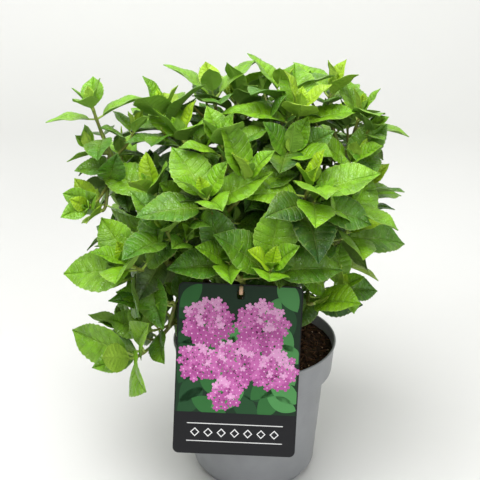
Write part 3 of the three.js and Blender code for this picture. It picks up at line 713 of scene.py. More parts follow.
def add_node(tree, kind, inputs=None, output=0, **settings):
    """A new shader node with its settings, and its inputs set to values or linked to sockets.
    Returns one of its outputs."""
    node = tree.nodes.new("ShaderNode" + kind)
    for name, value in settings.items():
        setattr(node, name, value)
    for key, value in (inputs or {}).items():
        if isinstance(value, bpy.types.NodeSocket):
            tree.links.new(value, node.inputs[key])
        else:
            node.inputs[key].default_value = value
    return node.outputs[output]


def plain_material(name, colour, roughness, specular=0.5):
    """A material of one colour. Returns it with its node tree and its surface shader."""
    material = bpy.data.materials.new(name)
    material.use_nodes = True
    surface = material.node_tree.nodes["Principled BSDF"]
    surface.inputs["Base Color"].default_value = colour
    surface.inputs["Roughness"].default_value = roughness
    surface.inputs["Specular IOR Level"].default_value = specular
    return material, material.node_tree, surface


def blotches(tree, size_mm, detail=3.0, stretch=None):
    """A pattern of blotches about size_mm across, on the piece's own coordinates."""
    where = add_node(tree, "TexCoord", output="Object")
    if stretch:
        where = add_node(tree, "Mapping", {0: where, 3: stretch})
    return add_node(tree, "TexNoise", {"Vector": where, "Scale": 1 / (size_mm * MM), "Detail": detail})


def mixed(colour, hex_colour, share):
    """A colour with a share of another one in it."""
    return tuple((1 - share) * part + share * other for part, other in zip(colour, linear(hex_colour)))


def scaled_colour(colour, share):
    """A colour with its light scaled by a share."""
    return (*[min(1.0, part * share) for part in colour[:3]], 1.0)


def leaf_material(name, colour, roughness):
    """Living leaf: a firm skin with a broken sheen, quilted between creased veins, yellower
    towards its foot and midrib, with a thin pale margin and a paler underside. The veins run on
    the leaf's own map, where rows are side veins and the second half is the underside."""
    material, tree, surface = plain_material(name, colour, roughness)
    on_leaf = add_node(tree, "UVMap", uv_map="leaf")
    along_map = add_node(tree, "SeparateXYZ", {0: on_leaf})
    down = add_node(tree, "SeparateXYZ", {0: on_leaf}, 1)
    under = add_node(tree, "Math", {0: along_map, 1: 1.0005}, operation="GREATER_THAN")
    across = add_node(tree, "Math", {0: along_map}, operation="FRACT")
    across = add_node(tree, "Math", {0: across, 1: 2.0, 2: -1.0}, operation="MULTIPLY_ADD")
    across = add_node(tree, "Math", {0: across}, operation="ABSOLUTE")
    to_vein = add_node(tree, "Math", {0: down, 1: float(VEINS)}, operation="MULTIPLY")
    to_vein = add_node(tree, "Math", {0: to_vein}, operation="FRACT")
    to_vein = add_node(tree, "Math", {0: to_vein, 1: 0.5}, operation="SUBTRACT")
    to_vein = add_node(tree, "Math", {0: to_vein}, operation="ABSOLUTE")
    vein = add_node(tree, "MapRange", {0: to_vein, 1: 0.41, 2: 0.5, 4: 0.7})
    midrib = add_node(tree, "MapRange", {0: across, 1: 0.07, 2: 0.02})
    lines = add_node(tree, "Math", {0: vein, 1: midrib}, operation="MAXIMUM")

    # The blade: blotches of shade, yellower along the midrib's foot and in broad patches.
    shade = add_node(tree, "MapRange", {0: blotches(tree, 11), 1: 0.35, 2: 0.65})
    shades = {6: scaled_colour(colour, 0.7), 7: scaled_colour(colour, 1.2)}
    skin = add_node(tree, "Mix", {0: shade, **shades}, 2, data_type="RGBA")
    to_midrib = add_node(tree, "MapRange", {0: across, 1: 0.9, 2: 0.0, 4: 0.7})
    to_foot = add_node(tree, "MapRange", {0: down, 1: 0.75, 2: 0.0})
    foot = add_node(tree, "Math", {0: to_midrib, 1: to_foot}, operation="MULTIPLY")
    patches = add_node(tree, "MapRange", {0: blotches(tree, 45), 1: 0.45, 2: 0.7, 4: 0.5})
    yellowing = add_node(tree, "Math", {0: foot, 1: patches}, operation="MAXIMUM")
    yellow = mixed(colour, "#A6CB1E", 0.5)
    skin = add_node(tree, "Mix", {0: yellowing, 6: skin, 7: yellow}, 2, data_type="RGBA")

    # Veins and margin are paler, and so is the whole underside.
    margin = add_node(tree, "MapRange", {0: across, 1: 0.92, 2: 0.995, 4: 0.5})
    faint_lines = add_node(tree, "Math", {0: lines, 1: 0.34}, operation="MULTIPLY")
    edged = add_node(tree, "Math", {0: faint_lines, 1: margin}, operation="MAXIMUM")
    skin = add_node(tree, "Mix", {0: edged, 6: skin, 7: mixed(colour, "#C8DC7A", 0.4)}, 2, data_type="RGBA")
    skin = add_node(tree, "Mix", {0: under, 6: skin, 7: mixed(colour, "#A2C05C", 0.4)}, 2, data_type="RGBA")
    tree.links.new(skin, surface.inputs["Base Color"])

    # The sheen breaks up in small patches, and the underside is duller.
    sheen_range = {1: 0.3, 2: 0.7, 3: roughness - 0.08, 4: roughness + 0.14}
    sheen = add_node(tree, "MapRange", {0: blotches(tree, 5), **sheen_range})
    dull = add_node(tree, "Math", {0: under, 1: 0.3, 2: sheen}, operation="MULTIPLY_ADD")
    tree.links.new(dull, surface.inputs["Roughness"])

    # Fine net of veins, and creases along the side veins and the midrib.
    where = add_node(tree, "TexCoord", output="Object")
    net_inputs = {"Vector": where, "Scale": 1 / (3.4 * MM)}
    net = add_node(tree, "TexVoronoi", net_inputs, "Distance", feature="DISTANCE_TO_EDGE")
    net = add_node(tree, "MapRange", {0: net, 1: 0.0, 2: 0.16, 4: 0.42})
    height = add_node(tree, "Math", {0: net, 1: lines}, operation="SUBTRACT")
    bump = add_node(tree, "Bump", {"Strength": 0.9, "Distance": 0.8 * MM, "Height": height})
    tree.links.new(bump, surface.inputs["Normal"])
    return material


def rough_material(name, colour, other, roughness, grain_mm, bump_mm, specular=0.3, stretch=None):
    """A material of two colours in blotches, with the same blotches as relief."""
    material, tree, surface = plain_material(name, colour, roughness, specular)
    grain = blotches(tree, grain_mm, 5.0, stretch)
    share = add_node(tree, "MapRange", {0: grain, 1: 0.38, 2: 0.62})
    skin = add_node(tree, "Mix", {0: share, 6: colour, 7: other}, 2, data_type="RGBA")
    tree.links.new(skin, surface.inputs["Base Color"])
    bump = add_node(tree, "Bump", {"Strength": 0.6, "Distance": bump_mm * MM, "Height": grain})
    tree.links.new(bump, surface.inputs["Normal"])
    return material


# Settings


def tint(name, description, hex_colour):
    """A setting that holds a colour."""
    return FloatVectorProperty(
        name=name, description=description, subtype="COLOR", size=4, default=linear(hex_colour)
    )


class PotSettings(bpy.types.PropertyGroup):
    """The nursery pot and its soil"""

    wall: FloatProperty(
        name="Wall", description="Thickness of the pot's wall", default=0.0018, min=0.0005, unit="LENGTH"
    )
    rounding: FloatProperty(
        name="Rounding", description="Radius of the moulded edges", default=0.0016, min=0.0002, unit="LENGTH"
    )
    colour: tint("Colour", "Colour of the plastic", "#8F9194")
    soil: tint("Soil", "Colour of the moist soil", "#3A2A1E")


class ShrubSettings(bpy.types.PropertyGroup):
    """The living shrub"""

    fullness: FloatProperty(
        name="Fullness", description="Share of leaf axils that carry a side spray",
        default=0.8, min=0.0, max=1.0, subtype="FACTOR",
    )
    bark: tint("Bark", "Colour of the older wood", "#5A4526")
    green: tint("Green wood", "Colour of the young stems", "#84963A")
    young: tint("Young leaf", "Colour of the leaves at the tips", "#9AC11C")
    fresh: tint("Fresh leaf", "Colour of the next leaves", "#71A61A")
    grown: tint("Grown leaf", "Colour of the full-grown leaves", "#4C7F1D")
    # The next two leaf colours are partly painted shade: they go to older leaves, and also to leaves deep
    # inside the crown.
    deep: tint("Deep leaf", "Colour of the leaves inside the crown", "#2F5A1A")
    old: tint("Old leaf", "Colour of last year's leaves", "#3C5528")


class CardSettings(bpy.types.PropertyGroup):
    """The printed card"""

    blossoms: IntProperty(
        name="Blossoms", description="Printed blossoms on a flower head of 30 mm radius", default=52, min=1
    )
    ground: tint("Ground", "Colour of the card", "#131317")
    blossom: tint("Blossom", "Colour of the printed blossoms", "#CF6FB6")


class StageSettings(bpy.types.PropertyGroup):
    """Floor, light and camera"""

    lens: FloatProperty(
        name="Lens", description="Focal length for a frame 36 mm wide", default=75.0, min=10.0, unit="CAMERA"
    )
    down: FloatProperty(
        name="Looks down", description="How far the camera looks down",
        default=math.radians(23), subtype="ANGLE",
    )
    floor: tint("Floor", "Colour of the floor", "#E3E3E0")
    key: FloatProperty(
        name="Key light", description="Power of the light overhead", default=37.0, unit="POWER"
    )


# Pieces


class HYDRANGEA_OT_pot(bpy.types.Operator):
    """Makes the nursery pot: a thin moulded wall with a collar and a foot with drain slots"""

    bl_idname = "hydrangea.pot"
    bl_label = "Make the pot"

    def execute(self, context):
        settings = context.scene.hydrangea_pot
        wall = settings.wall / MM
        collar_foot = POT["height"] - POT["collar_height"]
        lip = wall * 0.8
        shell = [
            (POT["foot"] - wall, 0),
            (POT["foot"], 0),
            (POT["foot"] + 1, POT["foot_height"]),
            (POT["wall_foot"], POT["foot_height"]),
            (POT["wall_top"], collar_foot),
            (POT["collar"], collar_foot),
            (POT["rim"] - lip, POT["height"] - 3.2),
            (POT["rim"], POT["height"] - 2.6),
            (POT["rim"], POT["height"]),
            (POT["rim"] - wall - lip * 0.5, POT["height"]),
            (POT["collar"] - wall, collar_foot + wall),
            (POT["wall_top"] - wall, collar_foot + wall),
            (POT["wall_foot"] - wall, POT["foot_height"] + wall),
            (POT["foot"] + 1 - wall, POT["foot_height"] + wall),
            (POT["foot"] - wall, 0),
        ]
        profile = rounded(shell, settings.rounding / MM)[:-1]
        segments = 192
        angles = np.arange(segments) * 2 * np.pi / segments
        radius, height = profile[:, :1], profile[:, 1:]
        step = 2 * np.pi / POT["slots"]
        to_slot = np.abs((angles % step) - step / 2) * POT["foot"]
        open_here = np.clip((POT["slot_half_width"] - to_slot) / 1.5, 0, 1)
        lifted = np.maximum(height, POT["slot_height"] * open_here[None, :])
        low = height < POT["slot_height"]
        height = np.where(low, lifted, height)
        points = np.stack(np.broadcast_arrays(radius * np.cos(angles), radius * np.sin(angles), height), -1)
        wall_faces = grid_faces(len(profile), segments, wrap_rows=True)
        floor = np.array([(0, 0), (POT["foot"] - 7, 0), (POT["foot"] - 6, 0.6),
                          (POT["foot"] - 6, POT["floor"]), (0, POT["floor"])], float)
        floor_points, floor_faces = turned(floor, 96)
        colour = tuple(settings.colour)
        # Polypropylene, moulded: an even matt skin with broad soft highlights and a little dust.
        dusty = scaled_colour(colour, 1.08)
        material = rough_material("moulded_polypropylene", colour, dusty, 0.46, 26, 0.12, specular=0.5)
        points, faces = joined([(points.reshape(-1, 3), [wall_faces]), (floor_points, floor_faces)])
        make_piece("nursery_pot", points, faces, material, sharp=50, replaced=["pot"])
        return {"FINISHED"}


class HYDRANGEA_OT_soil(bpy.types.Operator):
    """Makes the soil with its lumpy top, bark chips, pale grit and fibres"""

    bl_idname = "hydrangea.soil"
    bl_label = "Make the soil"

    def execute(self, context):
        settings = context.scene.hydrangea_pot
        inset = settings.wall / MM + 0.5
        ledge = POT["height"] - POT["collar_height"] + settings.wall / MM + GAP
        edge = POT["collar"] - inset + 2.8
        foot = POT["foot_height"] + settings.wall / MM + GAP
        side = [(edge, SOIL_TOP - 3), (POT["collar"] - inset, ledge), (POT["wall_top"] - inset, ledge)]
        floor = POT["floor"] + GAP
        side += [(POT["wall_foot"] - inset, foot), (POT["foot"] - 9, floor), (0, floor)]
        rings = np.linspace(0, edge, 60)
        top = np.stack([rings, np.full(60, SOIL_TOP - 1.5)], -1)
        profile = np.concatenate([top, np.array(side)])[::-1]

        def lumpy(radius, height, angles):
            x, y = radius * np.cos(angles), radius * np.sin(angles)
            sizes = ((2.2, 22, 3), (1.3, 7, 4), (0.6, 3, 5))
            relief = sum(rise * lumps(x, y, 0 * x, size, seed) for rise, size, seed in sizes)
            near_top = np.clip((height - SOIL_TOP + 4) / 2.5, 0, 1)
            near_wall = np.clip((edge - radius) / 6, 0.25, 1)
            return radius, height + relief * near_top * near_wall

        points, faces = turned(profile, 180, lumpy)
        colour = tuple(settings.soil)
        # Moist peat: dark, crumbly and dull, a little redder where it has dried.
        wet, dry = scaled_colour(colour, 0.55), scaled_colour(colour, 1.5)
        material = rough_material("moist_peat", wet, dry, 0.95, 4, 1.2, 0.15)
        make_piece("soil_body", points, faces, material, replaced=["soil"])
        draw = np.random.default_rng(11)

        def strewn(count, length, girth, lift):
            """Small bent sticks that lie on the soil: paths of four points and their radii."""
            reach = (edge - 5) * np.sqrt(draw.uniform(0.04, 1, count))
            at = draw.uniform(0, 2 * np.pi, count)
            way = draw.uniform(0, 2 * np.pi, count)
            long = length * draw.uniform(0.5, 1.5, count)
            share = np.linspace(-0.5, 0.5, 4)[None, :]
            bend = draw.normal(0, 0.22, count)[:, None] * (share**2 - 0.25) * long[:, None]
            x = reach * np.cos(at)
            y = reach * np.sin(at)
            x = x[:, None] + np.cos(way)[:, None] * share * long[:, None] - np.sin(way)[:, None] * bend
            y = y[:, None] + np.sin(way)[:, None] * share * long[:, None] + np.cos(way)[:, None] * bend
            z = SOIL_TOP + lift + draw.uniform(-1, 2.2, count)[:, None]
            z = z + draw.normal(0, 0.12, count)[:, None] * share * long[:, None]
            wide = girth * draw.uniform(0.6, 1.4, count)[:, None]
            radii = wide * np.array([0.35, 1, 0.9, 0.3])
            return np.stack([x, y, z], -1), radii

        # Shredded bark and peat fibre: dull reddish brown slivers.
        fibre = plain_material("bark_fibre", linear("#6B4A30"), 0.9, 0.2)[0]
        paths, radii = strewn(420, 9, 0.55, 0.3)
        points, faces = tubes(paths, radii, 5)
        make_piece("soil_fibres", points, faces, fibre)
        chip = plain_material("bark_chip", linear("#4A3322"), 0.9, 0.2)[0]
        paths, radii = strewn(360, 5, 1.7, 0.2)
        points, faces = tubes(paths, radii, 6)
        make_piece("soil_chips", points, faces, chip)
        # Grit and dry crumbs: small pale grains.
        grit = plain_material("pale_grit", linear("#B79F83"), 0.8, 0.3)[0]
        paths, radii = strewn(110, 2.2, 0.8, 0.8)
        points, faces = tubes(paths, radii, 6)
        make_piece("soil_grit", points, faces, grit)
        return {"FINISHED"}


class HYDRANGEA_OT_wood(bpy.types.Operator):
    """Makes the stock, the limbs and the card's stub, with bark relief"""

    bl_idname = "hydrangea.wood"
    bl_label = "Make the wood"

    def execute(self, context):
        settings = context.scene.hydrangea_shrub
        crown = grown_crown(settings.fullness)
        stations, sides = 96, 16
        share = np.linspace(0, 1, stations)
        paths, radii = [], []
        for plan in crown.plans.values():
            paths.append(plan["line"].at(share * plan["limb_end"])[0])
            foot, tip = plan["size"]
            along = share * plan["limb_end"]
            node = np.exp(-(((along % 31) - 15.5) / 2.2) ** 2)
            radii.append((foot + (tip - foot) * share) * (1 + 0.16 * node))
        paths.append(crown.stub.at(share * crown.stub.length)[0])
        radii.append(np.full(stations, STUB["foot"] - 0.1))
        paths, radii = np.array(paths), np.array(radii)
        angles = np.arange(sides) * 2 * np.pi / sides
        number = np.arange(len(paths))[:, None, None]
        length = (share * 40)[None, :, None]
        ridges = np.sin(5 * angles + 0.35 * length + number)
        ridges = ridges + 0.7 * np.sin(3 * angles - 0.6 * length + 2 * number)
        knots = np.sin(1.7 * length + 2 * angles + number)
        radii = radii[..., None] * (1 + 0.035 * ridges + 0.03 * knots)
        limbs = tubes(paths, radii, sides)

        foot = SOIL_TOP + GAP
        rise = STOCK["height"]
        outline = [(0, foot), (STOCK["flare"], foot), (STOCK["neck"] + 2, foot + rise * 0.3)]
        outline += [(STOCK["neck"], foot + rise * 0.7), (STOCK["neck"] - 4, foot + rise), (0, foot + rise)]
        outline = np.array(outline)
        lengths = np.concatenate([[0], np.cumsum(np.linalg.norm(np.diff(outline, axis=0), axis=1))])
        fine = np.linspace(0, lengths[-1], 40)
        profile = np.stack([np.interp(fine, lengths, outline[:, i]) for i in range(2)], -1)

        def knobbly(radius, height, angles):
            x, y = radius * np.cos(angles), radius * np.sin(angles)
            knobs = lumps(x, y, height, 14, 8) + 0.5 * lumps(x, y, height, 5, 9)
            return radius * (1 + 0.09 * knobs), height + np.where(height > foot + 2, 1.4 * knobs, 0)

        stock = turned(profile, 64, knobbly)
        points, faces = joined([limbs, stock])
        # Thin bark on two-year-old wood: dull brown, flaking in long streaks of a paler, greyer brown.
        bark = tuple(settings.bark)
        dry_bark = linear("#86714A")
        material = rough_material("thin_brown_bark", bark, dry_bark, 0.82, 5, 0.5, 0.2, (1, 1, 0.25))
        nodes = ["stock", "card_stub", *LIMB_NODES]
        make_piece("woody_stems", points, faces, material, replaced=nodes)
        self.cut_ends(crown)
        return {"FINISHED"}

    def cut_ends(self, crown):
        """Pale cut faces: the stub's end, and short pruned twigs on three limbs."""
        paths, stubs = [crown.stub.at(crown.stub.length + np.array([0, 0]))[0]], []
        way = crown.stub.at(crown.stub.length)[1]
        upwards = unit(0.3 * way + card_frame()[3])
        paths[0] = paths[0] + upwards * np.array([[-2.0], [8.0]])
        for name, back, bearing in (("upper_left", 4, 300), ("front_upper", 8, 265), ("top_right", 6, 250)):
            plan = crown.plans[name]
            point, along = plan["line"].at(plan["limb_end"] - back)
            lean = unit(along + 0.7 * place(bearing, 1, 0))
            end = point + lean * 20
            stubs.append(np.array([point, point + lean * 10, end]))
            paths.append(np.array([end - lean * 0.3, end + lean * 0.5]))
        wood = plain_material("fresh_cut_wood", linear("#D2AE8E"), 0.7, 0.3)[0]
        points, faces = tubes(np.array(paths), np.full((len(paths), 2), 2.3), 12)
        make_piece("cut_faces", points, faces, wood)
        bark = plain_material("dead_twig_bark", linear("#6E4A32"), 0.85, 0.2)[0]
        points, faces = tubes(np.array(stubs), np.full((len(stubs), 3), 2.7), 12)
        make_piece("pruned_twigs", points, faces, bark)


class HYDRANGEA_OT_twigs(bpy.types.Operator):
    """Makes the green stems of all masses, their sprays and the leaves' stalks"""

    bl_idname = "hydrangea.twigs"
    bl_label = "Make the green twigs"

    def execute(self, context):
        settings = context.scene.hydrangea_shrub
        crown = grown_crown(settings.fullness)
        stations = 56
        share = np.linspace(0, 1, stations)
        seats = np.array([pair[0] for pair in LEAF_PAIRS])
        paths, radii = [], []
        for plan in crown.plans.values():
            for number, stem in enumerate(plan["stems"]):
                line = stem["line"]
                start = plan["limb_end"] - 3 if number == 0 else 0
                at = start + (line.length - start) * share
                knee = np.exp(-(((line.length - at)[:, None] - seats) / 2.5) ** 2).sum(1)
                paths.append(line.at(at)[0])
                tip = np.clip((line.length - at) / 4, 0.25, 1)
                radii.append((TWIG[0] + (TWIG[1] - TWIG[0]) * share) * (1 + 0.22 * knee) * tip)
        for spray in crown.sprays:
            line = spray["line"]
            at = line.length * share
            knee = np.exp(-(((line.length - at)[:, None] - seats[:4]) / 2) ** 2).sum(1)
            paths.append(line.at(at)[0])
            tip = np.clip((line.length - at) / 3, 0.25, 1)
            radii.append((SPRAY[0] + (SPRAY[1] - SPRAY[0]) * share) * (1 + 0.2 * knee) * tip)
        points, faces = tubes(np.array(paths), np.array(radii), 9)
        green = tuple(settings.green)
        # Young hydrangea stem: smooth, green to tan, with darker flecks.
        older_green = linear("#6B6A2C")
        stem_skin = rough_material("young_green_stem", green, older_green, 0.5, 6, 0.15, 0.5, (1, 1, 0.4))
        make_piece("green_twigs", points, faces, stem_skin, replaced=LEAF_NODES)

        leaves = crown.leaves
        of_each_leaf = ("blade", "open", "curl")
        grown = {name: np.array([leaf[name] for leaf in leaves])[:, None] for name in of_each_leaf}
        for name in ("root", "shaft", "outward"):
            grown[name] = np.array([leaf[name] for leaf in leaves])[:, None, :]
        steps = np.linspace(0, 1.25, 6)[None, :]
        point, _, upper = along_leaf(grown, grown["blade"] * PETIOLE * steps)
        point = point - upper * (0.9 * steps[..., None])
        wide = np.clip(grown["blade"] * 0.022, 0.6, 1.5) * np.array([1.35, 1.05, 1, 1, 0.95, 0.5])
        points, faces = tubes(point, wide, 6)
        stalk = plain_material("leaf_stalk", linear("#A3BE4E"), 0.45)[0]
        make_piece("leaf_stalks", points, faces, stalk)
        return {"FINISHED"}


class HYDRANGEA_OT_leaves(bpy.types.Operator):
    """Makes all leaves, dealt out to the leaf colours by age, and by nearness to the crown's middle, where
    the darker colours are painted shade
    """

    bl_idname = "hydrangea.leaves"
    bl_label = "Make the leaves"

    def execute(self, context):
        settings = context.scene.hydrangea_shrub
        crown = grown_crown(settings.fullness)
        ages_and_shade = ("young", "fresh", "grown", "deep", "old")
        gloss = {"young": 0.36, "fresh": 0.32, "grown": 0.3, "deep": 0.32, "old": 0.42}
        first_age = {6: 0.0, 0: 0.25, 1: 0.7, 2: 1.3, 3: 1.9, 4: 2.6, 5: 3.0, 7: 3.3, 8: 3.5, 9: 3.6}
        dealt = {age_and_shade: [] for age_and_shade in ages_and_shade}
        for leaf in crown.leaves:
            stem_age = 0.5 * chance(leaf["key"], 5, 9) - 0.2
            age_and_shade = first_age[leaf["pair"]] + stem_age + 0.9 * (leaf["shade"] - 0.35)
            if leaf["key"] >= 1000:
                age_and_shade += 0.4
            # Painted shade: the nearer a leaf's root lies to the crown's middle, the older it counts, so the
            # darker the colour it is dealt.
            outness = np.linalg.norm((leaf["root"] - CROWN_MIDDLE) / CROWN_REACH)
            age_and_shade += 2.2 * max(0.0, 0.84 - outness)
            dealt[ages_and_shade[int(np.clip(round(age_and_shade), 0, 4))]].append(leaf)
        for age_and_shade in ages_and_shade:
            material = leaf_material(age_and_shade + "_hydrangea_leaf", tuple(getattr(settings, age_and_shade)), gloss[age_and_shade])
            leaves = dealt[age_and_shade]
            for part, start in enumerate(range(0, len(leaves), LEAVES_A_PIECE)):
                points, faces, uv = leaf_shells(leaves[start : start + LEAVES_A_PIECE])
                name = f"leaves_{age_and_shade}_{part + 1}"
                make_piece(name, points, faces, material, uv, 50, LEAF_NODES)
        return {"FINISHED"}


# Card


def on_card(flat, height):
    """Points from card coordinates: across, up and off its face, from its centre."""
    centre, face, right, top = card_frame()
    return centre + flat[..., :1] * right + flat[..., 1:2] * top + height[..., None] * face


def plate_with_slot(outline, low, high):
    """A flat plate with the hanging slot through it, as a grid of four rows that closes on
    itself: outline below, outline above, slot above, slot below. Each slot point lies towards
    its outline point: radius = ((cos/a)^4 + (sin/b)^4)^(-1/4)."""
    slot_middle = CARD["height"] / 2 - CARD["slot_from_top"] - CARD["slot_height"] / 2
    offset = outline - np.array([0, slot_middle])
    angle = np.arctan2(offset[:, 1], offset[:, 0])
    a, b = CARD["slot_width"] / 2, CARD["slot_height"] / 2
    radius = ((np.cos(angle) / a) ** 4 + (np.sin(angle) / b) ** 4) ** -0.25
    slot = np.stack([radius * np.cos(angle), slot_middle + radius * np.sin(angle)], -1)
    flat = np.stack([outline, outline, slot, slot])
    height = np.array([low, high, high, low])[:, None] * np.ones(len(outline))
    points = on_card(flat, height).reshape(-1, 3)
    return points, [grid_faces(4, len(outline), wrap_rows=True)]


def rounded_rectangle(left, low, right, high, corners, steps=8):
    """An outline with round corners, counterclockwise. corners: radii from low right round."""
    parts = []
    middles = (
        (right, low, -90, -1, 1), (right, high, 0, -1, -1),
        (left, high, 90, 1, -1), (left, low, 180, 1, 1),
    )
    for (x, y, start, inward, upward), radius in zip(middles, corners):
        angle = np.radians(start + np.linspace(0, 90, steps))
        middle = np.array([x + inward * radius, y + upward * radius])
        parts.append(middle + radius * np.stack([np.cos(angle), np.sin(angle)], -1))
    edges = np.concatenate(parts)
    after = np.roll(edges, -1, 0)
    share = np.linspace(0, 1, 6)[:-1, None, None]
    return (edges + (after - edges) * share).transpose(1, 0, 2).reshape(-1, 2)


def prints(outlines, middles, low, high):
    """Flat printed shapes as thin closed prisms. outlines: shapes x points x 2, each seen
    whole from its middle, so that fans from it cover the shape."""
    count, sides = outlines.shape[:2]
    heights = tuple(np.broadcast_to(np.asarray(value, float), (count,)) for value in (low, high))
    rims = [on_card(outlines, level[:, None] * np.ones(sides)) for level in heights]
    hubs = [on_card(middles, level) for level in heights]
    points = np.concatenate([rims[0], rims[1], hubs[0][:, None], hubs[1][:, None]], 1)
    here = np.arange(sides)
    after = (here + 1) % sides
    body = 2 * sides
    first = np.stack([np.full(sides, body), after, here], -1)
    last = np.stack([np.full(sides, body + 1), sides + here, sides + after], -1)
    quads = copies(grid_faces(2, sides), count, body + 2)
    fans = copies(np.concatenate([first, last]), count, body + 2)
    return points.reshape(-1, 3), [quads, fans]


def printed_leaves(middles, bearings, lengths, widths):
    """Leaf outlines: across = width * sin(pi u)^0.8 on both sides of a rib from u 0 to 1."""
    u = np.linspace(0, 1, 13)
    along = np.concatenate([u, u[-2:0:-1]]) - 0.5
    swell = np.sin(np.pi * u) ** 0.8
    across = np.concatenate([-swell, swell[-2:0:-1]])
    turn = np.radians(bearings)[:, None]
    x, y = along[None, :] * lengths[:, None], across[None, :] * widths[:, None] / 2
    flat = np.stack([x * np.cos(turn) - y * np.sin(turn), x * np.sin(turn) + y * np.cos(turn)], -1)
    return flat + middles[:, None]


def printed_blossoms(middles, radii, turns):
    """Blossom outlines with five petals: radius * (0.5 + 0.5 |cos(2.5 angle)|^0.6)."""
    angle = np.linspace(0, 2 * np.pi, 40, endpoint=False)[None, :]
    reach = radii[:, None] * (0.5 + 0.5 * np.abs(np.cos(2.5 * angle)) ** 0.6)
    angle = angle + turns[:, None]
    return middles[:, None] + np.stack([reach * np.cos(angle), reach * np.sin(angle)], -1)


